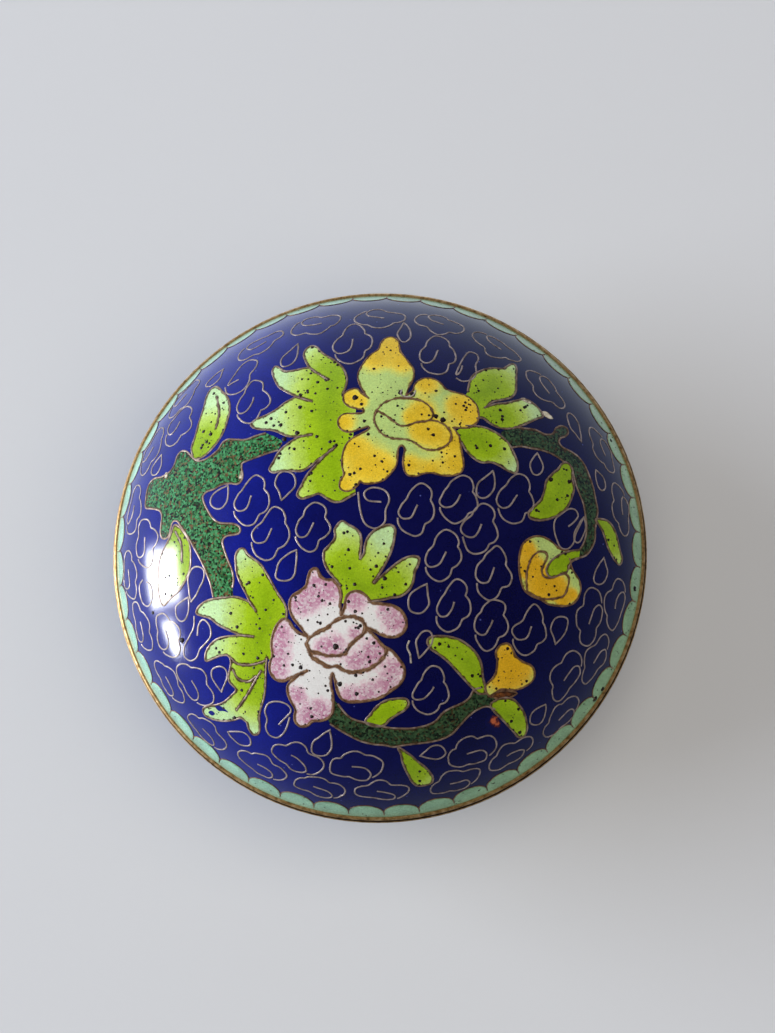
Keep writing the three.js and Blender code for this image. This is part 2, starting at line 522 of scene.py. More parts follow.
yellowFlower = {
    "finish": "yellowEnamel", "slot": "yellow_enamel", "wire": "bronzeWire",
    "width": 0.23, "rise": 0.036,
    "cells": [{
        "outline": [
            # top petal
            [(-0.1, 19.2), (-0.8, 20.2), (-1.5, 21.8), (-1.7, 23.2), (-1.2, 24.8), (-0.2, 26.6),
             (1.1, 27.9), (1.4, 29.2), (2, 30.1), (2.9, 30.4), (3.8, 29.9), (4.1, 28.8), (4.3, 27.5),
             (5.4, 25.6), (6.2, 24.2), (6.2, 22.4), (5.5, 20.9)],
            # right petal, waisted
            [(5.2, 19.6), (6.1, 20.5), (6.4, 21.6), (7.3, 22.5), (8.6, 22.7), (9.9, 22.1),
             (10.9, 20.9), (12.2, 20.5), (13.6, 20.1), (14.9, 19), (15.4, 17.5), (15.2, 16),
             (14.2, 15), (13, 14.8)],
            # lower right petal
            [(11.7, 14.8), (12.5, 13.6), (12.9, 11), (13.1, 9.3), (12.7, 8.2), (11.5, 7.7),
             (10, 7.7), (8.7, 8), (7.6, 7.9), (6.6, 7.5), (5.5, 7.6), (4.9, 8.6), (4.8, 10),
             (5, 11.5), (4.6, 11.9),
             # lower left petal
             (4.2, 11.6), (4.1, 10.4), (3.9, 9), (3.2, 7.9), (2.2, 6.9), (1, 6.5), (-0.2, 6.4),
             (-1, 6.7)],
            [(-1.2, 6.3), (-1.9, 5.7), (-2.8, 5.4), (-3.7, 5.9), (-3.7, 6.9), (-3.2, 7.8),
             (-3.5, 9.2), (-3.4, 10.8), (-3, 12.1), (-2.2, 13), (-1, 13.7), (0.2, 14.5)],
            # two small side lobes
            [(0, 14.7), (-1.3, 14.3), (-2.6, 13.9), (-3.6, 14.3), (-4.2, 15.2), (-4.1, 16.2),
             (-3.3, 16.8), (-2, 16.8), (-0.7, 17), (-0.7, 17.3), (-1.6, 17.5), (-2.8, 17.9),
             (-3.6, 18.9), (-3.5, 20), (-2.7, 20.7), (-1.7, 20.8), (-1, 20)],
        ],
        # the two folded petals of its middle
        "lines": [
            [(1.1, 17.2), (2, 18.3), (3.5, 19), (5.5, 19.2), (7.5, 18.7), (8.7, 17.6), (8.9, 16.4),
             (8.2, 15.7), (6.9, 15.5), (5.8, 15.1), (4.6, 14.8), (3.5, 15.5), (2.3, 16.5), (1.1, 17.2)],
            [(1.1, 17.2), (0.8, 16), (1.2, 14.6), (2.2, 13.4), (3.6, 12.9), (5.2, 12.8), (6.3, 12.4),
             (7.4, 11.6), (8.8, 11.3), (10.3, 11.8), (11.3, 12.8), (11.4, 14), (10.7, 15),
             (9.6, 15.6), (8.5, 15.8)],
        ],
        "spots": [
            (2.9, 28.5, 4.2), (0.6, 26, 3.2), (4.6, 25.6, 3.2), (8, 21.7, 2.8), (14, 17, 4.2),
            (12.6, 18.5, 2.6), (5.8, 9, 2.4), (8.5, 8.4, 2.4), (12, 9.5, 3.4), (11.8, 12.4, 2.4),
            (-0.2, 9, 4.6), (2, 8.6, 3), (-2, 11.6, 3), (-3, 6.4, 2), (-2.6, 19.4, 2.4),
            (-1.2, 18.6, 1.6), (-3.4, 15.5, 2.4), (7.4, 17.2, 2.8), (5.9, 16.2, 1.8),
            (9, 13.8, 3.6), (7.2, 14.2, 2.4),
        ],
    }],
}

pinkFlower = {
    "finish": "pinkEnamel", "slot": "pink_enamel", "wire": "bronzeWire",
    "width": 0.3, "rise": 0.036,
    "cells": [{
        "outline": [
            [(-8.4, -13.9), (-9.3, -12.7), (-10.3, -11.4), (-10.7, -9.8), (-10.3, -8.6),
             (-9.2, -7.9), (-8.3, -7.2), (-8, -6), (-7.6, -5.1), (-6.8, -4.9), (-6.3, -5.8),
             (-5.7, -6.4), (-4.6, -6.5), (-3.8, -7.3), (-3.4, -8.4), (-3.6, -9.8)],
            [(-3.5, -11.2), (-3.1, -10), (-2.8, -8.7), (-2, -8.1), (-0.9, -8.1), (0, -8.8),
             (0.7, -9.6), (1.8, -9.7), (3.2, -9.9), (4.5, -10.6), (5.2, -11.8), (5.2, -13),
             (4.4, -14), (3.2, -14.3), (1.9, -14), (0.8, -13.4)],
            [(0, -13.1), (1.2, -14.3), (2, -15.3), (3.2, -16), (4.2, -17.2), (4.9, -18.3),
             (4.9, -19.6), (4.2, -20.8), (3, -21.7), (1.6, -22.6), (0, -23), (-1.5, -23.2),
             (-3, -23.2), (-4, -22.6), (-4.5, -21.4), (-4.7, -20), (-4.9, -19.1),
             (-5.2, -20.4), (-5, -22), (-5, -23.4), (-5.2, -24.8), (-5.9, -25.6), (-7, -26),
             (-8.2, -26.1), (-9, -26.8), (-10.1, -26.9), (-10.8, -26.2), (-10.8, -25.2),
             (-10.6, -24.4), (-11.1, -23.3), (-11.5, -22.2), (-11.5, -21), (-10.9, -20.2),
             (-10, -19.5)],
            [(-8.6, -18.8), (-9.4, -19.2), (-10.6, -19.7), (-12, -20.3), (-13.2, -20),
             (-13.9, -19), (-13.9, -17.8), (-13.4, -16.6), (-13.5, -15.3), (-13.2, -13.8),
             (-12.6, -12.5), (-11.6, -11.6), (-10.7, -11.9), (-10.2, -12.8), (-9.4, -13.5)],
        ],
        "lines": [
            [(-8.4, -15), (-7.9, -14.2), (-6.8, -13.6), (-5.6, -13), (-4.6, -12.2), (-3.4, -11.6),
             (-1.9, -11.5), (-0.8, -11.9), (-0.3, -12.8), (-0.6, -13.8), (-1.6, -14.5),
             (-2.4, -15.3), (-3, -16.3), (-4, -16.7), (-5.4, -16.7), (-6.8, -16.4), (-8, -15.9),
             (-8.4, -15)],
            [(-8.2, -15.8), (-7.8, -16.8), (-6.8, -17.5), (-5.4, -18.2), (-4.2, -18.2),
             (-3.2, -18.8), (-1.8, -19), (-0.4, -18.7), (1, -18), (2.1, -17), (2.5, -16),
             (1.6, -14.8)],
        ],
        "spots": [
            (-7, -7.3, 3), (-4.8, -7.8, 2.6), (-9.3, -9.6, 2.6), (-7.6, -9, 2.6), (-1.6, -9.2, 2.4),
            (3.8, -12, 2.8), (2.4, -10.8, 1.6), (-12.2, -13.6, 2.8), (-12.4, -16.3, 2.6),
            (-12.6, -18.7, 2.2), (-8.4, -25.2, 3.2), (-10.2, -22.2, 2), (-6.6, -24.6, 2.6),
            (3.6, -18.4, 2), (2.6, -20.6, 2.4), (0, -21.9, 2.4), (-2.6, -22.2, 2),
            (-4.6, -15.5, 2.6), (-6.2, -15.7, 1.8), (-1.7, -13.7, 1.4), (0.4, -16.6, 2.8),
            (-1.6, -17.6, 2.2), (1.5, -15.2, 1.8),
        ],
    }],
}

leavesByYellow = {
    **leafGlass,
    "cells": [
        {   # a five-lobed spray on the left
            "outline": [
                [(-3.7, 20), (-3.3, 21.2), (-3.2, 22.5), (-3.8, 24.3), (-5, 25.8), (-6.5, 27),
                 (-7.5, 28), (-8.1, 28.9), (-9, 29.3), (-9.8, 28.6), (-10, 27.5), (-9.6, 26.3)],
                [(-9, 25), (-10, 24.9), (-11.5, 24.7), (-12.6, 24.8), (-13.3, 25.4),
                 (-14.2, 26), (-14.6, 25.2), (-14, 23.4), (-13.2, 22), (-12, 21)],
                [(-10.4, 20), (-12, 19.2), (-13.2, 18.2), (-14.8, 17.4), (-16.3, 16.9),
                 (-17, 16.2), (-16.4, 15.6), (-15.3, 15.2), (-14, 15), (-12.8, 14.6), (-11.3, 13.8)],
                [(-9.7, 13.6), (-11, 12.8), (-12.4, 11.6), (-13.1, 10.2), (-13.7, 9),
                 (-13, 8.5), (-12, 8.7), (-10.5, 8.6), (-9, 8.5), (-8, 9), (-6.8, 10)],
                [(-5.8, 10.7), (-7.2, 9.2), (-8.3, 7.9), (-9, 6.5), (-9.6, 5.2), (-9, 4.6),
                 (-7.8, 4.8), (-6.6, 5.2), (-5.6, 4.6), (-4.6, 4), (-3.5, 4), (-2.4, 4.6)],
                [(-1.5, 5.1), (-2, 8), (-2, 14), (-2, 19)],
            ],
            "hidden": [5],
            "lines": [[(-9, 25), (-6, 22.5)], [(-10.4, 20), (-8, 19)], [(-9.7, 13.6), (-7.8, 13.8)],
                      [(-5.8, 10.7), (-4.5, 11.8)]],
            "root": [(-5, 23.5), (-6, 18), (-5, 11), (-4, 6.5)], "reach": 7.6,
        },
        {   # three leaves on the right
            "outline": [
                [(13.9, 20.8), (14.1, 22), (14.8, 23.8), (16.3, 25), (18, 25.7), (19.5, 25.9),
                 (20.5, 26.8), (21.4, 27.4), (21.8, 26.8), (21.6, 25), (21.4, 23.3), (21.2, 21.8),
                 (20.4, 20.6), (19, 20), (17.5, 19.4)],
                [(16.3, 18.3), (14.5, 17.5), (13, 18.5)],
            ],
            "hidden": [1],
            "root": [(14, 19), (17.5, 21.6)], "reach": 6.6,
        },
        {
            "outline": [
                [(16.3, 18.4), (18, 19.2), (19.6, 19.6), (21, 20.2), (22.6, 20.7), (23.6, 20.4),
                 (24.8, 19.3), (25.3, 18.2), (24.2, 17.6), (22.8, 16.7), (21.4, 15.9), (19.7, 15.3),
                 (18.2, 15.3), (17, 15.8), (15.9, 16.6)],
                [(15, 16.5), (14.5, 17.5)],
            ],
            "hidden": [1],
            "root": [(15, 17.3), (18.6, 17)], "reach": 5.4,
        },
        {
            "outline": [
                [(13.4, 15.2), (15, 15.3), (16.4, 15.1), (18, 14.4), (19.4, 13.2), (20.3, 11.6),
                 (20.8, 10), (20.5, 8.6), (19.4, 8.8), (18.3, 9.4), (17, 9.9), (15.5, 9.8),
                 (14.4, 10.4), (13.4, 11.5)],
                [(12.8, 12.6), (12, 14)],
            ],
            "hidden": [1],
            "root": [(13, 13.6), (16, 12.6)], "reach": 5.4,
        },
    ],
}

rightBranch = {
    **stemGlass,
    "cells": [{
        "outline": [
            [(20.5, 15.7), (22, 15.7), (23.8, 15.7), (25.4, 15.2), (26.6, 15.6), (27.2, 16.6),
             (28.2, 17.2), (29.2, 17), (29.3, 16.2), (28.6, 15.4), (27.8, 15), (27.5, 14.3),
             (28, 13.6), (29.2, 13.2), (30.5, 12.6), (31.6, 11.5), (32.4, 9.8), (33, 8),
             (33.3, 6.2), (33.6, 4.4), (33.3, 3), (33, 1.5), (32.9, 0), (32.3, -1.3), (31.2, -2.5),
             (29.7, -3)],
            [(28.5, -3.6), (29, -2.6), (30, -1.8)],
            [(30.2, -1.6), (30.7, -0.9), (31.2, 0.3), (31.4, 2), (31.2, 3.7), (31, 5), (30.5, 6.3),
             (29.9, 7.7), (29.6, 9), (29.4, 10.2), (28.9, 11), (27.9, 11.3), (27, 11.8), (26, 12.2),
             (24.6, 12.5), (22.9, 12.6), (21.3, 12.7)],
            [(20, 12.4), (18.5, 14.5)],
        ],
        "hidden": [1, 3],
    }],
}

rightLeaves = {
    **leafGlass,
    "cells": [
        {
            "outline": [
                [(29.4, 10.4), (28.6, 11.2), (27.7, 10.9), (27, 10), (26, 9.1), (25, 7.9),
                 (24.6, 6.3), (24, 5), (23, 4), (22.2, 3.1), (22.3, 2.3), (23.6, 2), (25.2, 2.3),
                 (26.7, 3), (28, 4), (28.9, 5.5), (29.5, 7.2), (29.3, 9)],
            ],
            "root": [(28.6, 10.5), (27, 6), (25, 3.6)], "reach": 7,
        },
        {
            "outline": [
                [(33, 3), (34.6, 3.3), (36, 2.9), (37, 1.8), (37.6, 0.3), (38.1, -1.2),
                 (38.6, -2.4), (38, -3.4), (37, -3), (36, -1.9), (35.2, -0.7), (34.6, 0.8),
                 (33.9, 2)],
            ],
            "root": [(33.5, 2.8), (36, 1)], "reach": 6,
        },
    ],
}

rightBud = {
    **budGlass,
    "cells": [{
        "outline": [
            [(28.3, -1.8), (27.2, -1.9), (26.2, -1.3), (25.2, -0.6), (23.8, -0.2), (22.4, -0.5),
             (21.3, -1.4), (20.8, -2.8), (20.7, -4.5), (20.9, -6.2), (21.5, -7.8), (22.6, -8.6),
             (24, -9.1), (25.2, -9.7), (26.6, -9.9), (28, -9.9), (29.4, -9.4), (30.2, -8.3),
             (30.4, -7), (29.9, -5.8), (29.1, -4.9), (28.7, -4)],
            [(28.4, -3), (28.4, -2.4)],
        ],
        "hidden": [1],
        "lines": [
            [(21.9, -8), (21.8, -6), (22.1, -4.3), (22.9, -2.9), (24.1, -2.3), (24.9, -2.7),
             (24.6, -3.8), (24.1, -4.8), (24.3, -5.8), (25.2, -6), (26.3, -5.7), (27.6, -5.2),
             (28.3, -5.8), (28.2, -7.2), (27.6, -8.4), (26, -8.9), (24, -8.9), (21.9, -8)],
            [(28.3, -4.6), (28.7, -4)],
        ],
        "spots": [(24, -7, 3.4), (26.4, -7.2, 2.8), (23, -4.6, 2.6), (21.4, -4.8, 1.8),
                  (21.8, -2.2, 2.2), (27.5, -9.2, 1.6), (29, -8.3, 1.4)],
    }],
}

rightCalyx = {
    **leafGlass, "rise": 0.046,
    "cells": [{
        "outline": [
            [(30.2, -1.7), (28.2, -2.1), (26.5, -2.8), (25.3, -3.8), (24.7, -5), (25.4, -5.9),
             (26.7, -5.6), (28, -5.1), (28.4, -4.1), (29, -3.4)],
            [(30, -3)],
        ],
        "hidden": [1],
        "root": [(30, -2.4), (27, -4)], "reach": 6,
    }],
}

lowerBranch = {
    **stemGlass,
    "cells": [{
        "outline": [
            [(-4.4, -23.4), (-3.6, -24.6), (-2.8, -25.4), (-1.8, -25.9), (-0.4, -26.2),
             (2.2, -26.9), (4, -27.1), (6, -27.1), (8, -26.7), (9.3, -26), (10.2, -24.9),
             (11.6, -24.1), (13, -23.5), (14, -22.7), (14.5, -21.7)],
            [(15.6, -21.4), (17.4, -22.8), (18.2, -24.4)],
            [(17.8, -24.7), (16.5, -24.2), (15.2, -24.6), (14, -25.5), (12.8, -26.8),
             (11.6, -28.2), (10, -29), (8, -29.4), (6, -29.6), (4.3, -29.8), (3.2, -30),
             (2, -29.7), (0.2, -29.5), (-1.5, -29), (-3, -28.2), (-4.3, -27.4)],
            [(-5.7, -26.4), (-6.4, -24), (-5.6, -22.4)],
        ],
        "hidden": [1, 3],
    }],
}

lowerLeaves = {
    **leafGlass,
    "cells": [
        {
            "outline": [
                [(-0.7, -26.1), (0.2, -24.8), (0.9, -23.9), (2.2, -23), (3.8, -22.7), (5.2, -22.8),
                 (5.5, -23.5), (4.9, -24.4), (3.8, -25.1), (2.8, -25.8), (2, -26.6), (0.7, -26.8)],
            ],
            "root": [(-0.4, -26.2), (2.8, -24.4)], "reach": 5,
        },
        {
            "outline": [
                [(3.8, -30), (4.2, -31.2), (4.4, -32.5), (4.8, -33.8), (5.3, -35), (5.8, -36.2),
                 (6.6, -37), (7.8, -37), (8.8, -36.6), (9, -35.6), (8.4, -34.3), (7.6, -33.3),
                 (6.6, -32.4), (5.6, -31.3)],
            ],
            "root": [(4.2, -30.5), (6, -34)], "reach": 5.5,
        },
        {
            "outline": [
                [(8.6, -16), (8, -15), (8.3, -14.3), (9.4, -14.1), (11, -14.2), (12.6, -14.7),
                 (13.9, -15.6), (15, -16.8), (15.6, -18.2), (15.8, -19.8), (16.2, -21.3)],
                [(16.4, -22.3), (15.3, -22.3), (14.2, -21.3), (13, -20), (12, -18.9), (11, -17.8),
                 (9.8, -16.8)],
            ],
            "root": [(16, -21.6), (13.6, -17.6), (11, -15.8)], "reach": 5,
        },
        {
            "outline": [
                [(17, -23.9), (18.8, -23), (20.3, -23.2), (21.5, -24.3), (22.4, -25.6),
                 (22.9, -27), (23.2, -28.3), (22.8, -29.5), (21.9, -29.6), (21, -28.6),
                 (19.9, -27.4), (18.8, -26.2), (17.6, -25)],
            ],
            "root": [(17.4, -24), (21, -26.6)], "reach": 5.5,
        },
    ],
}

lowerBud = {
    **budGlass,
    "cells": [{
        "outline": [
            [(17.8, -17.6), (17.5, -16.5), (18.2, -15.4), (19.3, -15.2), (20, -16), (20.5, -17),
             (21.6, -17.8), (22.9, -18.4), (23.5, -19.3), (23.4, -20.4), (22.6, -21.2),
             (21.3, -21.8), (20, -21.9), (18.6, -21.7), (17.6, -22.3)],
            [(17.1, -22.9), (16.5, -22.3), (16.1, -21.3), (17, -20.3), (17.6, -19.3)],
        ],
        "spots": [(19.5, -18.5, 6)],
    }],
}

lowerCalyx = {
    "finish": "umberEnamel", "slot": "branch_enamel", "wire": "bronzeWire",
    "rise": 0.030,
    "cells": [{
        "outline": [
            [(17, -22.6), (18.4, -22), (20.2, -22.1), (21, -22.4), (19.6, -23.1), (18.2, -23.1)],
        ],
    }],
}

leavesByPink = {
    **leafGlass,
    "cells": [
        {   # the spray on the left, its right side under the flower
            "outline": [
                [(-18.4, -3.8), (-18.4, -2.7), (-17.8, -1.9), (-17.1, -1.9), (-16.6, -2.6),
                 (-15.6, -3.4), (-14.6, -4.2), (-13.8, -5.4), (-13, -6.8), (-12.2, -8.2),
                 (-11.4, -9.4), (-11, -10.6)],
                [(-11.2, -12), (-12, -15), (-12.6, -18)],
                [(-14.2, -17), (-14.4, -18.3), (-14.6, -20), (-14.8, -21.5), (-15.2, -23),
                 (-15.8, -24.4), (-16.2, -25.8), (-16.3, -27.2), (-16.7, -28.3), (-17.6, -28.6),
                 (-18.2, -27.8)],
                [(-18.4, -26.6), (-19.2, -26), (-20.6, -26.4), (-22.6, -26.7), (-24.6, -26.5),
                 (-25.8, -26), (-25.9, -25), (-24.8, -24.4), (-23.2, -24.1), (-21.6, -23.5)],
                [(-20.3, -22.5), (-19.4, -21.6), (-20.4, -20.4), (-20.1, -18.7), (-19.8, -17.6),
                 (-20.1, -16.7), (-21.4, -16.7), (-22.8, -17.2), (-24, -17.5), (-23.8, -16.2),
                 (-22.8, -15), (-21.5, -14.2), (-19.8, -13.9)],
                [(-18, -13.8), (-19.9, -13), (-21.4, -12.3), (-22.6, -11.4), (-24, -11),
                 (-25, -10.6), (-24.6, -9.8), (-23.4, -9), (-21.8, -8.6), (-20, -8.5),
                 (-18.2, -8.5)],
                [(-16.4, -9.2), (-16.8, -8.3), (-17.5, -7), (-18.2, -5.4)],
            ],
            "hidden": [1],
            "lines": [[(-16.4, -9.2), (-15.5, -10.5)], [(-18, -13.8), (-16, -14)],
                      [(-19.9, -16.8), (-18.8, -17.8), (-17.4, -18), (-15.8, -17.8), (-14.5, -17.4)],
                      [(-19.6, -18.6), (-18.9, -19.9), (-17.4, -20.4), (-16, -19.6)],
                      [(-15.2, -18.8), (-16.3, -20.3), (-17.3, -21.8), (-18.5, -23.3), (-19.8, -24.8)]],
            "root": [(-14, -8.5), (-14.5, -13), (-16, -19.5), (-16.2, -21)], "reach": 7,
        },
        {   # the pair above it
            "outline": [
                [(-4.4, 0.2), (-4, 0.9), (-3.3, 1.4), (-2.5, 0.9), (-1.6, 0.4), (-0.9, -0.3),
                 (-0.7, -1.4), (-0.8, -2.6)],
                [(-0.9, -3.8), (-0.4, -3), (-0.3, -2), (0.1, -0.9), (0.9, 0), (2, 0.6), (3.2, 0.8),
                 (3.8, 0.3), (3.7, -1), (3.4, -2.4), (2.8, -3.9), (2, -5.3)],
                [(0.9, -7), (1.9, -6.1), (2.8, -5.3), (3.9, -4.4), (5, -3.7), (6.2, -3.4),
                 (7, -3.6), (6.9, -4.5), (6.4, -5.6), (6.2, -6.8), (5.6, -8), (4.5, -8.8),
                 (3.2, -9), (2, -9.3), (1, -9.4)],
                [(0, -9.6), (-2, -10), (-4.2, -9)],
                [(-3.6, -7.3), (-4.3, -6.4), (-5.2, -5.4), (-5.8, -4), (-5.8, -2.6), (-5, -1.8),
                 (-4.3, -0.8)],
            ],
            "hidden": [3],
            "root": [(-3, -5), (-1.4, -7.6), (2.6, -7.6)], "reach": 6,
        },
    ],
}

leftBranch = {
    "finish": "branchEnamel", "slot": "branch_enamel", "wire": "leafWire",
    "rise": 0.012,
    "cells": [{
        "outline": [
            [(-14.5, 14.6), (-16, 14.3), (-17.5, 13.9), (-19, 14.1), (-20.5, 14.3), (-21.2, 13.9),
             (-21.8, 12.9), (-22.6, 12.3), (-23.5, 11.8), (-25, 11.6), (-26, 12.2), (-27.5, 13.6),
             (-28.5, 13.8), (-29.2, 13.2), (-29.5, 12), (-30.1, 11), (-32, 10.3), (-33.5, 10.4),
             (-34.6, 9.9), (-35.1, 8.8), (-35.2, 7.2), (-35, 5.9), (-34, 5.6), (-32.7, 5.3),
             (-31.6, 4.8), (-31.2, 4), (-31.3, 2.6), (-31.3, 1.2), (-30.9, 0.6), (-30.2, 0.5),
             (-29.6, 0.9), (-29.3, 2), (-28.9, 2.9), (-28.2, 2.9), (-27.4, 2), (-26.6, 1),
             (-25.6, -0.4), (-24.6, -2), (-23.6, -3.7), (-22.9, -5.2), (-22.3, -6.8)],
            [(-22, -8.4), (-19, -8.8)],
            [(-18.9, -7.2), (-18.7, -6), (-19, -4.6), (-19.7, -3), (-20.2, -1.6), (-20.4, -0.6),
             (-19.8, 0), (-18.7, 0.1), (-17.8, 0.3), (-17.7, 1), (-18.5, 1.6), (-19.8, 1.8),
             (-21, 2), (-22, 2.7), (-22.8, 3.8), (-23.5, 5), (-23.8, 6), (-23.3, 6.6), (-22, 6.9),
             (-20.8, 7.4), (-19.5, 7.5), (-18.3, 7.3), (-17.7, 7.8), (-17.6, 8.6), (-17.8, 9.6),
             (-17.8, 10.3), (-17, 10.6), (-15.6, 11), (-14.2, 11.4)],
            [(-12.5, 11.8), (-12, 13)],
        ],
        "hidden": [1, 3],
    }],
}

leftLeaves = {
    **leafGlass,
    "cells": [
        {
            "outline": [
                [(-25.5, 22.6), (-25, 24), (-24.2, 24.4), (-23.4, 23.9), (-22.6, 23),
                 (-21.6, 21.9), (-20.9, 20.6), (-20.6, 19), (-20.8, 17.2), (-21.2, 15.6),
                 (-21.9, 14.3), (-23, 13), (-24.3, 12.1), (-25.8, 12), (-26.6, 14), (-26.2, 15.8),
                 (-26, 17.6), (-25.7, 19.4), (-25.5, 21.2)],
            ],
            "lines": [[(-23.4, 22.2), (-22.8, 20.5), (-22.4, 18.5), (-22.6, 16.5)]],
            "root": [(-24.6, 12), (-24.2, 14)], "reach": 7,
        },
        {
            "outline": [
                [(-28.6, 2.4), (-27.6, 1.9), (-26.7, 0.9), (-25.8, -0.6), (-25.6, -2.2),
                 (-25.7, -4), (-26.5, -5.8), (-27.8, -7.3), (-29.3, -8.2), (-31, -9.3),
                 (-31.7, -8), (-31.8, -5), (-31.2, -2), (-30, -0.2), (-29.2, 1.2)],
            ],
            "lines": [[(-28.4, 1.4), (-27.3, -0.6), (-27.2, -3)]],
            "root": [(-28.6, 1.6), (-27.6, -2)], "reach": 7,
        },
    ],
}

# Damage: chips, a blot of blue on a leaf, and a scorched patch
lidChips = {
    "finish": "chippedEnamel", "slot": "counter_enamel",
    "rise": 0.05,
    "cells": [
        {"outline": [[(21.7, 20.6), (22.4, 20.9), (23.3, 20.5), (23.6, 20), (22.8, 20.1)]]},
        {"outline": [[(25, 18.9), (25.7, 19.2), (26.5, 18.7), (26.9, 18.1), (25.8, 18.1)]]},
        {"outline": [[(-31.4, 10.5), (-31, 10.9), (-30.7, 10.4), (-30.9, 9.9), (-31.3, 10)]]},
        {"outline": [[(-18.1, 8.7), (-17.8, 9.3), (-17.6, 8.5), (-17.8, 7.7), (-18.2, 8)]]},
    ],
}

lidBlueBlot = {
    "finish": "cobaltEnamel", "slot": "cobalt_enamel",
    "rise": 0.05,
    "cells": [
        {"outline": [[(-23.4, -24.4), (-22.6, -24.2), (-21.8, -24.6), (-21.2, -25.2), (-22, -25),
                      (-23, -25)]]},
        {"outline": [[(-24.9, -25.4), (-24.2, -25.1), (-23.7, -25.6), (-24.4, -25.9)]]},
    ],
}

lidScorch = {
    "finish": "scorchedEnamel", "slot": "cobalt_enamel",
    "rise": 0.008,
    "cells": [{
        "outline": [[(16.6, -25.8), (17.8, -25.6), (18.9, -26.4), (19.6, -27.6), (19.2, -28.4),
                     (18.1, -28.3), (17, -27.6), (16.3, -26.7)]],
        "spots": [(17.7, -26.4, 1.1), (18.3, -27.2, 0.8)],
    }],
}


# The cloud scrolls that fill the blue. One is drawn, 6.6 mm long and 4.7 mm wide, and repeated.
cloudDrawing = {
    "size": (6.6, 4.7),
    "runs": [
        [(0.67, -0.08), (-0.54, 0.02), (-1.4, 0.34), (-1.8, 1.15), (-1.26, 1.99), (0.01, 2.03),
         (1.03, 1.55)],
        [(1.03, 1.55), (2.14, 1.42), (3.24, 0.75), (3.18, -0.55), (2.38, -1.26), (1.76, -1.33)],
        [(1.76, -1.33), (1.2, -2.12), (0.23, -2.68), (-0.69, -2.49), (-1.25, -1.84)],
        [(-1.25, -1.84), (-2.45, -1.74), (-3.3, -0.88), (-3.2, 0.32), (-2.5, 1.32), (-1.97, 1.62)],
    ],
}

# Each cloud's place on the lid and size: u, v, the way that it points in degrees, length, width.
# The first ones follow the border.
lidClouds = [
    (1, 35.2, 0, 7.6, 4.9), (-9, 34.6, 14.5, 8, 5), (10.2, 34.4, -16, 7.8, 5),
    (-17.7, 31.6, 29.5, 8, 4.3), (19, 30.6, -32, 8, 4.3), (26.5, 23.6, -48, 8, 4.3),
    (36, 14.8, -67.7, 8, 4.3), (38.8, 5.5, -81.6, 8.2, 4.2), (37.5, -9.3, -104, 8, 4.3),
    (34.3, -18, -118, 8, 4.3), (29.2, -27, -133, 8, 4.3), (21, -32.6, -147, 8, 4.3),
    (12.5, -36.9, -161, 8, 4.3), (1.2, -37.9, 180, 8.2, 4), (-8.6, -37.6, 167, 8, 4.3),
    (-17.4, -34.1, 153, 8, 4.3), (-26.4, -29, 138, 8, 4.3), (-32.2, -21, 123, 8, 4.3),
    (-36.8, -12.5, 109, 8, 4.3), (-39.2, -4.2, 96, 8, 4.3), (-38.4, 6.2, 81, 8, 4.3),
    (-36, 15.8, 66, 8, 4.3), (-31, 24.5, 52, 8, 4.3),
    (-2.9, 29.3, 82, 8, 5.4), (9.5, 27.2, 80, 7.8, 5.2), (-17.2, 20.1, 80, 7.4, 5),
    (-30.2, 18.7, 65, 7.2, 5.2), (-16.3, 4.8, 68, 7.2, 5), (-13.4, 0, 65, 7.2, 5.2),
    (-7.6, 0.7, 70, 6.6, 4.7), (6.5, 2.9, 68, 7, 4.8), (12.2, 4.5, 68, 7, 5),
    (20.2, 4.9, 68, 7, 5), (15.1, 0.5, 68, 7.2, 4.9), (10.1, -3.4, 70, 6.9, 4.7),
    (11.4, -10.1, 70, 6.7, 4.6), (16.9, -5.5, 72, 7.3, 4.9), (16.7, -12.6, 70, 7, 4.9),
    (22.3, -13.4, 68, 7.2, 4.9), (32.4, -11.5, -100, 8.7, 5), (28.9, -20.4, -115, 7.6, 4.9),
    (14.7, -31.5, -160, 7.6, 5.2), (8.4, -21.7, 70, 7, 4.9), (-2.4, -33.4, 180, 7.9, 5),
    (-11.3, -32.2, 155, 8, 5), (-26.7, -21.2, 130, 7.6, 5), (-30.9, -13.7, 105, 6.8, 5),
    (-34.8, 0.5, 95, 7.6, 5),
]

# A drop of wire, 1 mm by 1 mm, with its point at the right, and its places on the lid
dropDrawing = [(0.5, 0), (0.2, 0.3), (-0.15, 0.5), (-0.45, 0.3), (-0.5, -0.05), (-0.35, -0.42),
               (-0.05, -0.5), (0.25, -0.25), (0.45, -0.02)]
lidDrops = [
    (-33.3, 12.6, 70, 3.5, 2), (-20.8, 5.6, 60, 3.5, 2.5), (-10.7, -4.5, 60, 4.6, 2.8),
    (-11.5, 6.4, -100, 3.9, 2.7), (16.3, 6.7, 60, 4, 2.3), (7, -9.1, 60, 4.2, 2.7),
    (27, -13.4, -105, 4.5, 2.6), (24.8, -26, 60, 3.6, 2.2), (8.9, -31.3, 190, 3.8, 2.2),
    (7.5, -15.2, -110, 3.8, 2), (-6.8, -29.4, 60, 4.6, 2.9), (-20.1, -29.2, 150, 4, 2.5),
    (-21.9, -20.2, -90, 3.7, 2.5), (-25, -6.6, -110, 5, 2.5), (-27.2, -9.8, 55, 3.8, 2.3),
    (30.4, 1.3, 65, 4.2, 1.7), (23.6, 10.2, 80, 3.6, 2), (30.8, 17.4, -70, 4.7, 2),
    (34.4, 9.4, 110, 3.6, 1.9), (34, -4.5, 75, 4.2, 2.3), (4.9, 31.7, 95, 4.5, 2.1),
    (-12, 27.9, 70, 4.5, 2.2), (-24.6, 26.5, 50, 4, 2),
]

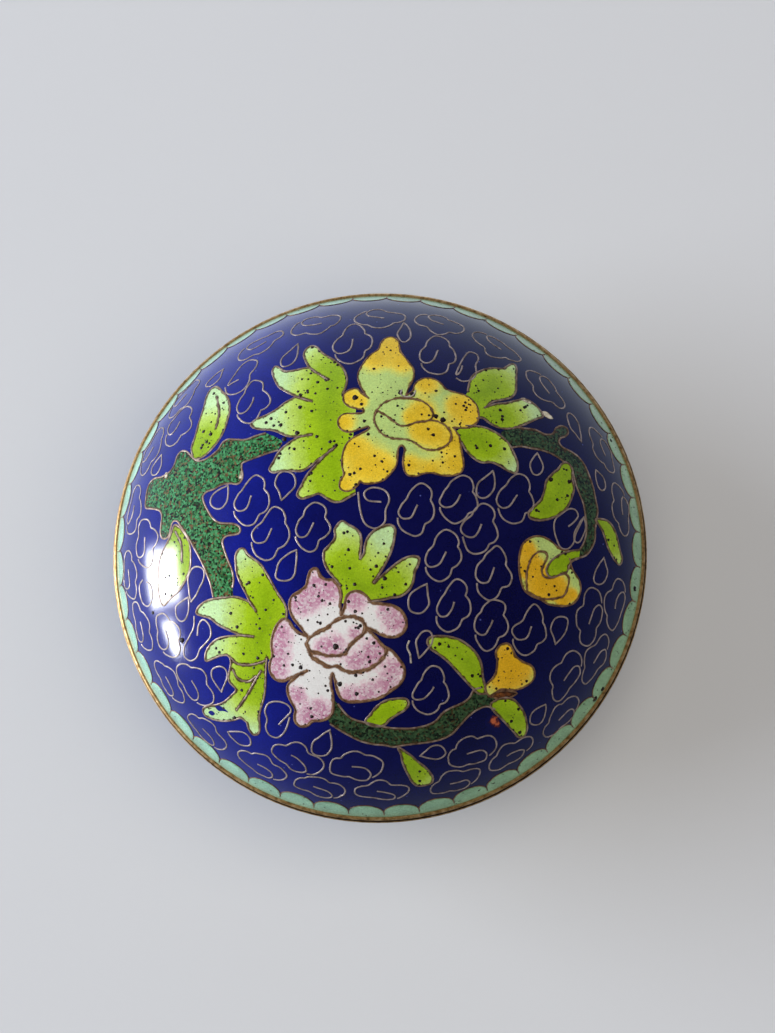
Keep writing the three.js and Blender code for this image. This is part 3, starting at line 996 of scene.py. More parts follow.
# Curled loops bent one by one to fill what is left
lidCurls = [
    [(13.3, 25.4), (13, 24.3), (12.6, 23.7), (12.3, 23.5), (12.8, 25.2), (13.7, 27.2), (14.5, 28.3),
     (15.6, 28), (15.8, 27), (15.3, 25.8), (15.3, 24.2), (14.6, 23), (13.2, 22.5), (12.3, 23)],
    [(-20, 24.6), (-21, 24.2), (-21.8, 23.8), (-21, 25.7), (-20, 27.6), (-18.8, 28.3),
     (-17.4, 27.7), (-17.5, 26.3), (-18.2, 25.2), (-18.1, 24), (-18.9, 22.4), (-20.3, 21.9),
     (-21.6, 22.3), (-22.2, 23.6)],
    [(1.9, 3.9), (0, 4.2), (-0.4, 5.2), (0.7, 5.9), (2.5, 5.4), (3, 4.2), (2.5, 2.8), (2.4, 1.2),
     (1.2, 0.3), (-0.2, 0.9), (-0.9, 2.8), (-1.2, 5.3)],
    [(-13.3, -26.7), (-12.6, -26), (-11.2, -24.5), (-11.6, -23.7), (-13, -23.2), (-14.5, -23.5),
     (-15.2, -24.7), (-15, -26), (-15.4, -27.2), (-15, -28.4), (-13.8, -28.8), (-12.7, -28),
     (-12, -26.8), (-11.5, -25.5)],
    [(-35.3, -5.2), (-36.2, -6), (-36.2, -7.5), (-35.6, -8.8), (-34.5, -9.3), (-33.5, -8.6),
     (-33.2, -7.2), (-33.6, -6), (-34.4, -5.6)],
    [(-25, -13.8), (-24.6, -12.2), (-23.8, -11.5), (-22.8, -12.4), (-22.7, -13.8), (-23.8, -15),
     (-24.8, -15.8), (-25.5, -17), (-26.8, -17.5), (-27.8, -16.8), (-27.6, -15.5), (-26.5, -14),
     (-25.5, -12.5), (-25.3, -11)],
    [(28.3, 1.5), (29.3, 2.3), (30, 3.3), (29.5, 4.1), (28.5, 4.1), (27.3, 3.3), (26.2, 2.3),
     (26, 1), (26.4, -0.5), (27, -1.6), (28, -1.8), (29, -1), (29.5, 0.5), (30.3, 2), (31, 3.2)],
]

# Wires worn bright, and a stray hairpin in the yellow flower
wornLines = [
    [(5.6, -14.7), (5.3, -15.6), (5.7, -16.6), (5.8, -17.8)],
    [(4.6, 20.6), (4.4, 19.8), (5.2, 19.4), (6.2, 19.7), (6.5, 20.5)],
]

# The bowl's clouds: rings at a reach of so many mm along the surface from its middle
bowlRings = [
    {"reach": 37.5, "count": 26, "offset": 0, "length": 7.8, "width": 4.6},
    {"reach": 31.5, "count": 22, "offset": 0.5, "length": 7.6, "width": 4.6},
    {"reach": 25.8, "count": 18, "offset": 0, "length": 7.4, "width": 4.4},
]


# Finishes. The enamels are lead glass fired into wire cells, then stoned flat and polished, so they
# share one gloss, with fine pinholes where bubbles were cut open.
enamelForm = {
    "roughness": 0.14,
    "ior": 1.55,          # lead glass
    "pinhole": 0.55,      # mm between the finest pinholes
    "pinholeSize": 0.16,  # share of that distance
    "grain": 0.22,        # mm, the powder that the enamel is laid as
    "ripple": 6.0,        # mm, the slow unevenness left by stoning
    "cloud": 3.0,         # mm, how the glass varies in thickness
    "cloudShare": 0.35,   # of the tone, the rest being the grain's
    "darker": 0.45,       # how far a tone of 1 darkens the darkest places
    "lighter": 0.3,       # and lightens the lightest
    "bumpHeight": 0.012,  # mm
    "holeDepth": 3.0,     # times that
    "holeRoughness": 0.5,
}


def setStops(ramp, stops):
    # colours of a ramp from (place, hex) stops
    while len(ramp.color_ramp.elements) < len(stops):
        ramp.color_ramp.elements.new(0.5)
    for element, (place, text) in zip(ramp.color_ramp.elements, stops):
        element.position = place
        element.color = hexColor(text)
    return ramp


def newFinish(name, **sockets):
    # a material with plain values on its shader; returns it, its node tree and the shader
    finish = bpy.data.materials.new(name)
    finish.use_nodes = True
    tree = finish.node_tree
    shader = tree.nodes["Principled BSDF"]
    for key, value in sockets.items():
        shader.inputs[key.replace("_", " ")].default_value = value
    return finish, tree, shader


def pinholes(tree, place, spacing, size):
    # 1 in the middle of scattered round holes, 0 outside; only some of the cells hold one
    cell = addNode(tree, "ShaderNodeTexVoronoi", Vector=place, Scale=perMetre(spacing))
    chance = addNode(tree, "ShaderNodeSeparateColor", i0=cell.outputs["Color"])
    chosen = addNode(tree, "ShaderNodeMapRange", interpolation_type="SMOOTHSTEP",
                     i0=chance, i1=0.55, i2=1.0, i4=size)
    inside = addNode(tree, "ShaderNodeMath", operation="SUBTRACT", i0=chosen, i1=cell)
    return addNode(tree, "ShaderNodeMapRange", interpolation_type="SMOOTHSTEP",
                   i0=inside, i1=0.0, i2=0.06)


def enamelFinish(name, color, tone=0.5, holeColor="#1A120C", holes=1.0):
    # finishes an enamel: color is a function of the tree and the place that gives its colour
    finish, tree, shader = newFinish(name, Roughness=enamelForm["roughness"], IOR=enamelForm["ior"])
    place = addNode(tree, "ShaderNodeTexCoord").outputs["Object"]
    hole = pinholes(tree, place, enamelForm["pinhole"], enamelForm["pinholeSize"] * holes)
    base = color(tree, place)
    cloud = addNode(tree, "ShaderNodeTexNoise", Vector=place, Scale=perMetre(enamelForm["cloud"]),
                    Detail=3.0)
    grain = addNode(tree, "ShaderNodeTexNoise", Vector=place, Scale=perMetre(enamelForm["grain"]),
                    Roughness=0.7)
    mixed = addNode(tree, "ShaderNodeMix", i0=enamelForm["cloudShare"], i2=grain, i3=cloud)
    shade = addNode(tree, "ShaderNodeMapRange", interpolation_type="SMOOTHSTEP",
                    i0=mixed, i1=0.3, i2=0.7, i3=1 - tone * enamelForm["darker"],
                    i4=1 + tone * enamelForm["lighter"])
    toned = addNode(tree, "ShaderNodeVectorMath", operation="SCALE", i0=base, Scale=shade)
    spotted = addNode(tree, "ShaderNodeMix", data_type="RGBA", i0=hole, i6=toned, i7=holeColor)
    ripple = addNode(tree, "ShaderNodeTexNoise", Vector=place, Scale=perMetre(enamelForm["ripple"]),
                     Detail=1.0)
    height = addNode(tree, "ShaderNodeMath", operation="MULTIPLY_ADD",
                     i0=hole, i1=-enamelForm["holeDepth"], i2=ripple)
    bump = addNode(tree, "ShaderNodeBump", Strength=0.35, Distance=enamelForm["bumpHeight"] * mm,
                   Height=height)
    rough = addNode(tree, "ShaderNodeMath", operation="MULTIPLY_ADD",
                    i0=hole, i1=enamelForm["holeRoughness"], i2=enamelForm["roughness"])
    tree.links.new(spotted.outputs[2], shader.inputs["Base Color"])
    tree.links.new(bump.outputs[0], shader.inputs["Normal"])
    tree.links.new(rough.outputs[0], shader.inputs["Roughness"])
    return finish


fringeForm = {
    "wave": 0.7,              # mm, the size of its unevenness
    "ragged": 0.6,            # mm that the noise, which averages a half, adds to the distance
    "fade": (0.36, 0.12),     # mm beyond its width at which it starts and is full
}


def fringed(tree, place, color, dark, width=0.32):
    # the enamel burns brown where it touches a wire, in an uneven band about this many mm wide
    start, full = fringeForm["fade"]
    reach = addNode(tree, "ShaderNodeAttribute", attribute_name="fringe").outputs["Fac"]
    noise = addNode(tree, "ShaderNodeTexNoise", Vector=place, Scale=perMetre(fringeForm["wave"]),
                    Detail=3.0)
    ragged = addNode(tree, "ShaderNodeMath", operation="MULTIPLY_ADD",
                     i0=noise, i1=fringeForm["ragged"], i2=reach)
    share = addNode(tree, "ShaderNodeMapRange", interpolation_type="SMOOTHSTEP",
                    i0=ragged, i1=width + start, i2=width + full)
    return addNode(tree, "ShaderNodeMix", data_type="RGBA", i0=share, i6=color, i7=dark)


def stirred(tree, noise, amount, base):
    # a value shifted up and down by a noise that runs from 0 to 1
    centred = addNode(tree, "ShaderNodeMath", operation="SUBTRACT", i0=noise, i1=0.5)
    return addNode(tree, "ShaderNodeMath", operation="MULTIPLY_ADD", i0=centred, i1=amount, i2=base)


def grainTones(tree, place, grainMm):
    # one even tone for each grain of powder
    grains = addNode(tree, "ShaderNodeTexVoronoi", Vector=place, Scale=perMetre(grainMm))
    return addNode(tree, "ShaderNodeSeparateColor", i0=grains.outputs["Color"])


def graded(tree, place, stops, grain, grainMm):
    # a gradient along "spread", broken up because the two colours are laid as grains
    spread = addNode(tree, "ShaderNodeAttribute", attribute_name="spread").outputs["Fac"]
    noise = addNode(tree, "ShaderNodeTexNoise", Vector=place, Scale=perMetre(grainMm), Detail=3.0,
                    Roughness=0.7)
    share = stirred(tree, noise, grain, spread)
    return setStops(addNode(tree, "ShaderNodeValToRGB", Fac=share), stops)


def acrossBox(tree, place, fromX, toX, most=1.0):
    # 0 on one side of the box, rising smoothly to the other; fromX and toX are in mm
    side = addNode(tree, "ShaderNodeSeparateXYZ", i0=place)
    return addNode(tree, "ShaderNodeMapRange", interpolation_type="SMOOTHSTEP",
                   i0=side, i1=fromX * mm, i2=toX * mm, i4=most)


def cobaltColor(tree, place):
    # deep cobalt glass with painted light: brighter toward the window side (-x) and darker away from
    # it, with a few grains that never melted
    slow = addNode(tree, "ShaderNodeTexNoise", Vector=place, Scale=perMetre(14.0))
    # painted light: the blue is made brighter toward the window side, where the light falls
    paintedLitSide = acrossBox(tree, place, 14, -34)
    share = addNode(tree, "ShaderNodeMath", operation="MULTIPLY_ADD", i0=slow, i1=0.4, i2=paintedLitSide)
    base = setStops(addNode(tree, "ShaderNodeValToRGB", Fac=share), [
        (0.15, "#08093C"), (0.5, "#0A0D50"), (0.9, "#0F187A")])
    # moved, so that the grains don't fall on the pinholes
    moved = addNode(tree, "ShaderNodeMapping", i0=place, i1=(0.011, 0.007, 0))
    grains = pinholes(tree, moved, 1.3, 0.12)
    return addNode(tree, "ShaderNodeMix", data_type="RGBA", i0=grains, i6=base, i7="#4C55A0")


def mintColor(tree, place):
    # opaque mint with painted shade: greyer and duller toward the side away from the window light (+x)
    color = graded(tree, place, [(0.0, "#4E8F72"), (0.16, "#9CCDB4"), (0.5, "#97CBB2"),
                                 (0.92, "#9ABF9E"), (1.0, "#8E9468")], 0.3, 0.5)
    # painted shade: the mint turns greyer toward the side away from the window light
    paintedShadeSide = acrossBox(tree, place, -38, 34, 0.72)
    return addNode(tree, "ShaderNodeMix", data_type="RGBA", i0=paintedShadeSide, i6=color, i7="#7A9F6C")


def leafColor(tree, place):
    # lime at a leaf's root, through pale green to a mint tip
    color = graded(tree, place, [(0.0, "#84A80E"), (0.38, "#97B91A"), (0.66, "#B2CF5C"),
                                 (1.0, "#B9DCA0")], 0.35, 0.5)
    return fringed(tree, place, color, "#4A3A1C")


def warmGraded(tree, place, tip, middle):
    # a warm colour at each petal's tip, run into pale green
    color = graded(tree, place, [(0.0, tip), (0.35, middle), (0.65, "#C9D166"), (1.0, "#B2CE7A")],
                   0.4, 0.4)
    return fringed(tree, place, color, "#5E4018", 0.24)


def yellowColor(tree, place):
    # the clear yellow of the large flower
    return warmGraded(tree, place, "#DCBB2A", "#E2CB44")


def amberColor(tree, place):
    # the same yellow fired longer, as it is in the buds
    return warmGraded(tree, place, "#D9AC1C", "#DDB42E")


def pinkColor(tree, place):
    # white with grains of rose, thickest at a petal's tip
    pick = grainTones(tree, place, 0.26)
    rose = graded(tree, place, [(0.0, "#B57F9A"), (0.3, "#C49AAE"), (0.6, "#D9C3CB"),
                                (0.9, "#DBDDDC")], 1.1, 0.5)
    pale = addNode(tree, "ShaderNodeMapRange", i0=pick, i1=0.35, i2=1.0, i4=0.65)
    color = addNode(tree, "ShaderNodeMix", data_type="RGBA", i0=pale, i6=rose, i7="#DBDCDC")
    return fringed(tree, place, color, "#74543A", 0.36)


def grainyGreen(tree, place, stops):
    # mixed powders, which keep their own colours side by side
    patch = addNode(tree, "ShaderNodeTexNoise", Vector=place, Scale=perMetre(1.8))
    share = stirred(tree, patch, 0.7, grainTones(tree, place, 0.27))
    color = setStops(addNode(tree, "ShaderNodeValToRGB", Fac=share), stops)
    return fringed(tree, place, color, "#3E2C14", 0.3)


def branchColor(tree, place):
    # mid green with grains of dark green, brown and black
    return grainyGreen(tree, place, [(0.1, "#132A16"), (0.3, "#28602F"), (0.52, "#4A9660"),
                                     (0.75, "#2C6638"), (0.84, "#6E5030"), (0.96, "#1A1C10")])


def darkBranchColor(tree, place):
    # the same mixed with more black, for the thin stems
    return grainyGreen(tree, place, [(0.12, "#121D10"), (0.35, "#28422A"), (0.6, "#3F5A3A"),
                                     (0.8, "#223620"), (0.9, "#41381F"), (0.98, "#10130B")])


def umberColor(tree, place):
    # burnt brown, where the bud's cup has lost its green
    noise = addNode(tree, "ShaderNodeTexNoise", Vector=place, Scale=perMetre(0.5))
    color = setStops(addNode(tree, "ShaderNodeValToRGB", Fac=noise), [
        (0.3, "#4A2A14"), (0.7, "#7A4A22")])
    return fringed(tree, place, color, "#2C1A0C")


def counterColor(tree, place):
    # the plainer enamel of the inside, which is left as it comes from the kiln
    noise = addNode(tree, "ShaderNodeTexNoise", Vector=place, Scale=perMetre(2.2), Detail=4.0,
                    Roughness=0.6)
    return setStops(addNode(tree, "ShaderNodeValToRGB", Fac=noise), [
        (0.3, "#3F8796"), (0.55, "#57A3AD"), (0.75, "#79BDBF")])


def chipColor(tree, place):
    # bare cream where the glass has chipped, dirty at its edge
    noise = addNode(tree, "ShaderNodeTexNoise", Vector=place, Scale=perMetre(0.5), Detail=3.0)
    color = setStops(addNode(tree, "ShaderNodeValToRGB", Fac=noise), [
        (0.3, "#8D8A6C"), (0.5, "#D5D0B8"), (0.7, "#E6E3D4")])
    return fringed(tree, place, color, "#5A4A34", 0.12)


def scorchColor(tree, place):
    # a scorch in the blue: a red-brown crust that thins out over the cobalt
    noise = addNode(tree, "ShaderNodeTexNoise", Vector=place, Scale=perMetre(0.6), Detail=4.0,
                    Roughness=0.65)
    spread = addNode(tree, "ShaderNodeAttribute", attribute_name="spread").outputs["Fac"]
    share = stirred(tree, noise, 2.2, spread)
    return setStops(addNode(tree, "ShaderNodeValToRGB", Fac=share), [
        (0.0, "#B4603C"), (0.22, "#6A2A20"), (0.45, "#26122C"), (0.7, "#0A0C44")])


# Metals. The rings are brass, and the wires brass or copper, ground down with the glass and dulled.
metalForm = {
    "jointColor": "#2E2012",       # the dirt in a joint
    "jointReach": (0.24, 0.15),    # mm from a joint at which it starts and is full
    "scratch": 0.15,               # share of the wear's size
    "scratchDepth": 0.03,          # mm
}


def metalFinish(name, bright, dull, dark, roughness, wearMm, metallic, joints=()):
    # handled metal: brighter where rubbed, brown where dirt stays, and darkest in the joints, which
    # are circles of some radius and height in mm
    finish, tree, shader = newFinish(name, Metallic=metallic, Roughness=roughness)
    place = addNode(tree, "ShaderNodeTexCoord").outputs["Object"]
    wear = addNode(tree, "ShaderNodeTexNoise", Vector=place, Scale=perMetre(wearMm), Detail=4.0,
                   Roughness=0.65)
    ramp = setStops(addNode(tree, "ShaderNodeValToRGB", Fac=wear), [
        (0.32, dark), (0.5, dull), (0.68, bright)])
    color = ramp.outputs[0]
    flat = addNode(tree, "ShaderNodeVectorMath", operation="MULTIPLY", i0=place, i1=(1, 1, 0))
    radius = addNode(tree, "ShaderNodeVectorMath", operation="LENGTH", i0=flat)
    height = addNode(tree, "ShaderNodeSeparateXYZ", i0=place)
    spot = addNode(tree, "ShaderNodeCombineXYZ", X=radius, Y=height.outputs["Z"])
    start, full = metalForm["jointReach"]
    for jointRadius, jointHeight in joints:
        away = addNode(tree, "ShaderNodeVectorMath", operation="DISTANCE",
                       i0=spot, i1=(jointRadius * mm, jointHeight * mm, 0))
        dirt = addNode(tree, "ShaderNodeMapRange", interpolation_type="SMOOTHSTEP",
                       i0=away, i1=start * mm, i2=full * mm)
        color = addNode(tree, "ShaderNodeMix", data_type="RGBA", i0=dirt, i6=color,
                        i7=metalForm["jointColor"]).outputs[2]
    rough = addNode(tree, "ShaderNodeMapRange", interpolation_type="SMOOTHSTEP",
                    i0=wear, i1=0.3, i2=0.7, i3=roughness + 0.2, i4=roughness)
    fine = addNode(tree, "ShaderNodeTexNoise", Vector=place, Detail=3.0,
                   Scale=perMetre(wearMm * metalForm["scratch"]))
    bump = addNode(tree, "ShaderNodeBump", Strength=0.25, Distance=metalForm["scratchDepth"] * mm,
                   Height=fine)
    tree.links.new(color, shader.inputs["Base Color"])
    tree.links.new(rough.outputs[0], shader.inputs["Roughness"])
    tree.links.new(bump.outputs[0], shader.inputs["Normal"])
    return finish


def pitFinish(name):
    # the black inside of a burst bubble, which swallows light
    finish, tree, shader = newFinish(name, Roughness=0.7)
    place = addNode(tree, "ShaderNodeTexCoord").outputs["Object"]
    noise = addNode(tree, "ShaderNodeTexNoise", Vector=place, Scale=perMetre(0.3))
    color = setStops(addNode(tree, "ShaderNodeValToRGB", Fac=noise), [
        (0.35, "#0E0806"), (0.75, "#2E1B12")])
    tree.links.new(color.outputs[0], shader.inputs["Base Color"])
    return finish


# colour, unevenness of tone, colour inside the pinholes, their size
enamels = {
    "cobaltEnamel": (cobaltColor, 0.6, "#05051C", 0.6),
    "mintEnamel": (mintColor, 0.8),
    "leafEnamel": (leafColor,),
    "yellowEnamel": (yellowColor,),
    "amberEnamel": (amberColor,),
    "pinkEnamel": (pinkColor, 0.2, "#2A1216", 0.8),
    "branchEnamel": (branchColor, 0.3),
    "darkBranchEnamel": (darkBranchColor, 0.3),
    "umberEnamel": (umberColor,),
    "counterEnamel": (counterColor, 0.3, "#1C4650", 1.2),
    "chippedEnamel": (chipColor, 0.3),
    "scorchedEnamel": (scorchColor, 0.3),
}
# bright, dull and dark colour, roughness, size of the wear in mm, metallic, joints
metals = {
    "rimBrass": ("#E2C38E", "#C09A60", "#785A34", 0.36, 0.8, 0.75,
                 ((level["lidRingRadius"], level["lidSeat"]),
                  (level["edgeRadius"], level["bowlEdge"]))),
    "cloudWire": ("#BBADA4", "#9F928C", "#7F726A", 0.45, 0.9, 0.45),
    "leafWire": ("#AC9C90", "#85705F", "#564230", 0.45, 1.1, 0.45),
    "bronzeWire": ("#9A7B58", "#745640", "#463020", 0.42, 0.9, 0.4),
    "wornWire": ("#F2ECE2", "#CFC4B4", "#8F8272", 0.3, 0.6, 0.6),
}
finishes = {name: enamelFinish(name, *looks) for name, looks in enamels.items()}
finishes |= {name: metalFinish(name, *looks) for name, looks in metals.items()}
finishes["pit"] = pitFinish("pit")
print("finishes made")


def keepPiece(piece, slot, *replaced):
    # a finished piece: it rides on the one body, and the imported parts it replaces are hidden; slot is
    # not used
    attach(piece, "root")
    if replaced:
        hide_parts(*replaced)


# The turned pieces: two enamelled copper shells with their linings, and the brass rings, in mm
shellForm = {
    "segments": 192,
    "steps": 72,
    "lining": 0.45,         # the enamel inside
    "floorRadius": 20.2,    # of the bowl's flat underside
    "innerFloor": 19.4,
    "underEnamel": 0.3,     # how thick the enamel inside the foot ring is
    "footGap": 0.1,         # between that and the ring
    "sharpAngle": 40,       # degrees
}
ringForm = {
    "lidInner": 35.0, "rounding": 0.35, "roundSteps": 6,
    "collarInner": 33.9, "collarOuter": 34.6, "lead": 0.25,
    "footInner": 18.7,
}


def roundCorner(r, z, fromDegrees):
    # a quarter turn of the rings' rounding about (r, z)
    rounding, steps = ringForm["rounding"], ringForm["roundSteps"]
    angles = [math.radians(fromDegrees + 90 * i / steps) for i in range(steps + 1)]
    return [(r + rounding * math.cos(t), z + rounding * math.sin(t)) for t in angles]


def turnedPiece(name, profile, finish, slot, *replaced, closed=False):
    # a profile of (radius, height) runs counter-clockwise from the axis to the axis, or is closed
    run = profile + profile[:1] if closed else profile
    pattern = helperCurve(name + "Profile", [[(r, 0, z) for r, z in run]])
    piece = grow(name, turned, {"Profile": pattern, "Segments": shellForm["segments"],
                                "Finish": finishes[finish]})
    piece.data.set_sharp_from_angle(angle=math.radians(shellForm["sharpAngle"]))
    keepPiece(piece, slot, *replaced)


def makeShells():
    steps = shellForm["steps"]
    room, wall, lining = ball["wireRoom"], ball["wall"], shellForm["lining"]
    outer, middle, inner = radiusAtEdge(room), radiusAtEdge(wall - lining), radiusAtEdge(wall)
    lidCentre = level["lidEdge"] - edgeDepth
    lidOutside = ellipseRun(room, outer, 0, lidCentre, 1, steps)
    lidMiddle = ellipseRun(wall - lining, 0, middle, lidCentre, 1, steps)
    lidInside = ellipseRun(wall, 0, inner, lidCentre, 1, steps)
    turnedPiece("lidGround", lidMiddle + lidOutside, "cobaltEnamel", "cobalt_enamel", "lid")
    turnedPiece("lidLining", lidInside + lidMiddle[::-1], "counterEnamel", "counter_enamel")

    bowlCentre = level["bowlEdge"] + edgeDepth
    floor, innerFloor = shellForm["floorRadius"], shellForm["innerFloor"]
    under = ellipseRun(room, floor, outer, bowlCentre, -1, steps)
    over = ellipseRun(wall - lining, middle, innerFloor, bowlCentre, -1, steps)
    inside = ellipseRun(wall, inner, innerFloor, bowlCentre, -1, steps)
    turnedPiece("bowlGround", [(0, under[0][1]), *under, *over, (0, over[-1][1])],
                "cobaltEnamel", "cobalt_enamel", "bowl")
    turnedPiece("bowlLining", [(0, over[-1][1]), *over[::-1], *inside, (0, inside[-1][1])],
                "counterEnamel", "counter_enamel")
    bottom, reach = level["bowlUnderside"], ringForm["footInner"] - shellForm["footGap"]
    top = bottom + shellForm["underEnamel"]
    turnedPiece("undersideEnamel", [(0, bottom), (reach, bottom), (reach, top), (0, top)],
                "counterEnamel", "counter_enamel")


def roundedSide(outer, low, high):
    # a ring's outside, rounded above and below
    r = ringForm["rounding"]
    return [*roundCorner(outer - r, low + r, -90), *roundCorner(outer - r, high - r, 0)]


def makeRings():
    inner = ringForm["lidInner"]
    low, high = level["lidSeat"], level["lidEdge"]
    turnedPiece("lidRing", [(inner, low), *roundedSide(level["lidRingRadius"], low, high),
                            (inner, high)],
                "rimBrass", "brass", "lid_rim", closed=True)
    low, high, top = level["bowlEdge"], level["lidSeat"], level["collarTop"]
    inner, collar, lead = ringForm["collarInner"], ringForm["collarOuter"], ringForm["lead"]
    turnedPiece("bowlRing", [(inner, low), *roundedSide(level["bowlRingRadius"], low, high),
                             (collar, high), (collar, top - lead), (collar - lead, top), (inner, top)],
                "rimBrass", "brass", "bowl_rim", closed=True)
    inner, outer, top = ringForm["footInner"], level["footRadius"], level["footTop"]
    r = ringForm["rounding"]
    turnedPiece("footRing", [(inner, 0), *roundCorner(outer - r, r, -90), (outer, top), (inner, top)],
                "rimBrass", "brass", "foot_ring", closed=True)


makeShells()
makeRings()
print("shells and rings made")


# The wire work, in mm
wireForm = {
    "cloudWidth": 0.25,
    "figureWidth": 0.27,
    "borderWidth": 0.2,
    "depth": 0.09,        # stoned nearly flush, so its top is a low rounded band
    "lift": 0.025,        # of its middle above the blue
    "step": 0.3,
    "sway": 1.2,          # how unevenly the clouds and drops are bent by hand
    "dropStep": 0.05,     # between the points of the drop, which is drawn small
}


def wirePiece(name, runs, width, finish, where, **marked):
    # wires along runs of (u, v) points; with Marks, the runs are one drawing that is repeated
    pattern = helperCurve(name + "Pattern", [[(u, v, 0) for u, v in run] for run in runs])
    piece = grow(name, wires, {
        "Pattern": pattern, "Width": width * mm, "Depth": wireForm["depth"] * mm,
        "Lift": wireForm["lift"] * mm, "Step": wireForm["step"] * mm,
        "Finish": finishes[finish], **where, **marked})
    keepPiece(piece, "brass")


def cloudMarks(name, clouds):
    length, width = cloudDrawing["size"]
    rows = [(u, v, turn, long / length, wide / width) for u, v, turn, long, wide in clouds]
    return helperMarks(name, rows)


def makeClouds():
    width, sway = wireForm["cloudWidth"], wireForm["sway"] * mm
    cloud = smoothChain(cloudDrawing["runs"])
    wirePiece("lidCloudWires", [cloud], width, "cloudWire", onLid, Sway=sway,
              Marks=cloudMarks("lidCloudMarks", lidClouds), Repeat=True)
    drop = smoothRun(dropDrawing, wireForm["dropStep"])
    wirePiece("lidDropWires", [drop], width, "cloudWire", onLid, Sway=sway,
              Marks=helperMarks("lidDropMarks", lidDrops), Repeat=True)
    wirePiece("lidCurlWires", [smoothRun(curl) for curl in lidCurls], width, "cloudWire", onLid)
    wirePiece("lidWornWire", [smoothRun(line) for line in wornLines], width, "wornWire", onLid)
    # the bowl has the same clouds, in plain rings
    rows = []
    for ring in bowlRings:
        for k in range(ring["count"]):
            turn = 360 * (k + ring["offset"]) / ring["count"]
            spot = polar(ring["reach"], math.radians(turn))
            rows.append((*spot, turn - 90, ring["length"], ring["width"]))
    wirePiece("bowlCloudWires", [cloud], width, "cloudWire", onBowl, Sway=sway,
              Marks=cloudMarks("bowlCloudMarks", rows), Repeat=True)


def cellPiece(name, figure):
    # the enamel of a figure and its wires
    base = cellMesh(name + "Base", figure)
    piece = grow(name, cells, {"Finish": finishes[figure["finish"]], **onLid}, base)
    keepPiece(piece, figure["slot"])
    if "wire" in figure:
        runs = [run for part in figure["cells"] for run in wiresOf(part)]
        width = figure.get("width", wireForm["figureWidth"])
        wirePiece(name + "Wires", runs, width, figure["wire"], onLid)


figures = {
    "leftBranch": leftBranch, "rightBranch": rightBranch, "lowerBranch": lowerBranch,
    "leftLeaves": leftLeaves, "leavesByYellow": leavesByYellow, "rightLeaves": rightLeaves,
    "lowerLeaves": lowerLeaves, "leavesByPink": leavesByPink, "rightBud": rightBud,
    "rightCalyx": rightCalyx, "lowerBud": lowerBud, "lowerCalyx": lowerCalyx,
    "yellowFlower": yellowFlower, "pinkFlower": pinkFlower,
}
damage = {"lidChips": lidChips, "lidBlueBlot": lidBlueBlot, "lidScorch": lidScorch}
makeClouds()
print("cloud wires made")
for label, figure in (figures | damage).items():
    cellPiece(label, figure)
print("figures made")


# The mint border: even scallops along the edge of both shells, in mm
borderForm = {
    "count": 47,
    "cusp": 43.2,        # along the surface from the middle to where two scallops meet
    "bulge": 1.95,       # how far a scallop reaches inward from there
    "spoke": 0.7,        # the length of wire from there toward the ring
    "edge": 44.86,       # where the border ends, under the ring
    "first": -88.4,      # degrees
    "rise": 0.02,        # above the blue
    "step": 0.3,
}


def makeBorder():
    form = borderForm
    half = math.pi / form["count"]
    arch = [polar(form["cusp"] - form["bulge"] * math.cos(angle), half * math.sin(angle))
            for angle in np.radians(np.arange(-90, 91, 10))]
    rim = [polar(form["edge"], half * share) for share in (1, 0.5, 0, -0.5, -1)]
    spoke = [polar(form["cusp"], half), polar(form["cusp"] + form["spoke"], half)]
    marks = [(0, 0, form["first"] + 360 * (k + 0.5) / form["count"], 1, 1)
             for k in range(form["count"])]
    for side, where in (("lid", onLid), ("bowl", onBowl)):
        spots = helperMarks(side + "BorderMarks", marks)
        base = borderCell(side + "BorderBase", np.array(arch + rim))
        piece = grow(side + "Border", cells, {"Marks": spots, "Repeat": True, **where,
                                              "Finish": finishes["mintEnamel"]}, base)
        keepPiece(piece, "mint_enamel")
        wirePiece(side + "BorderWires", [smoothRun(arch), smoothRun(spoke)],
                  wireForm["borderWidth"], "bronzeWire", where, Marks=spots, Repeat=True)


def borderCell(name, loop):
    # one scallop; its colour varies from the wire to the ring
    even = smoothRun(loop, borderForm["step"], closed=True)
    flat, points, polygons, _ = cellPart(even, borderForm["rise"])
    mesh = bpy.data.meshes.new(name)
    mesh.from_pydata([(u * mm, v * mm, z * mm) for u, v, z in points], [], polygons)
    reach = np.hypot(flat[:, 0], flat[:, 1])
    start = borderForm["cusp"] - borderForm["bulge"]
    spread = np.clip((reach - start) / (borderForm["edge"] - start), 0, 1)
    mesh.attributes.new("spread", "FLOAT", "POINT").data.foreach_set("value", spread)
    return mesh


makeBorder()
print("border made")


# Burst bubbles: the large ones one by one (u, v, radius), in mm, and the small ones scattered
lidPits = [
    (-1.9, 19.3, .42), (4.4, 20, .35), (6.1, 19.8, .4), (9.3, 16.4, .35), (10.3, 15.9, .4),
    (-9.8, 20.2, .3), (-9.7, 18.2, .3), (-12.4, 15.6, .3), (-9.9, 14.2, .35), (-11.7, 13.4, .35),
    (-5.2, 12.6, .25), (-6.2, 22.5, .3), (-4.4, -15.5, .42), (-4, -20.6, .35), (-9.4, -18.3, .3),
    (-1, -12.7, .25), (-1.7, -22, .3), (2.4, -6.4, .3), (2, -7.6, .2), (-2.3, -5, .2),
    (-2.6, -0.1, .2), (-16.4, -6.6, .25), (-27.9, -14.5, .4), (-33.4, -10.3, .25), (-27.8, 0.1, .2),
    (-26.7, 0.3, .2), (-26.9, -4.9, .2), (-26.7, 12.9, .25), (-23.4, 15.6, .3), (18.9, 12.1, .25),
    (28.7, 8.2, .3), (29.5, 9.9, .3), (25.7, 8.2, .35), (9.7, -15.2, .25), (20.4, -26.7, .25),
    (22, -28.7, .3), (37.4, -23.4, .4), (36, -25, .5), (42.3, -6.8, .4), (38.8, 17.8, .3),
]
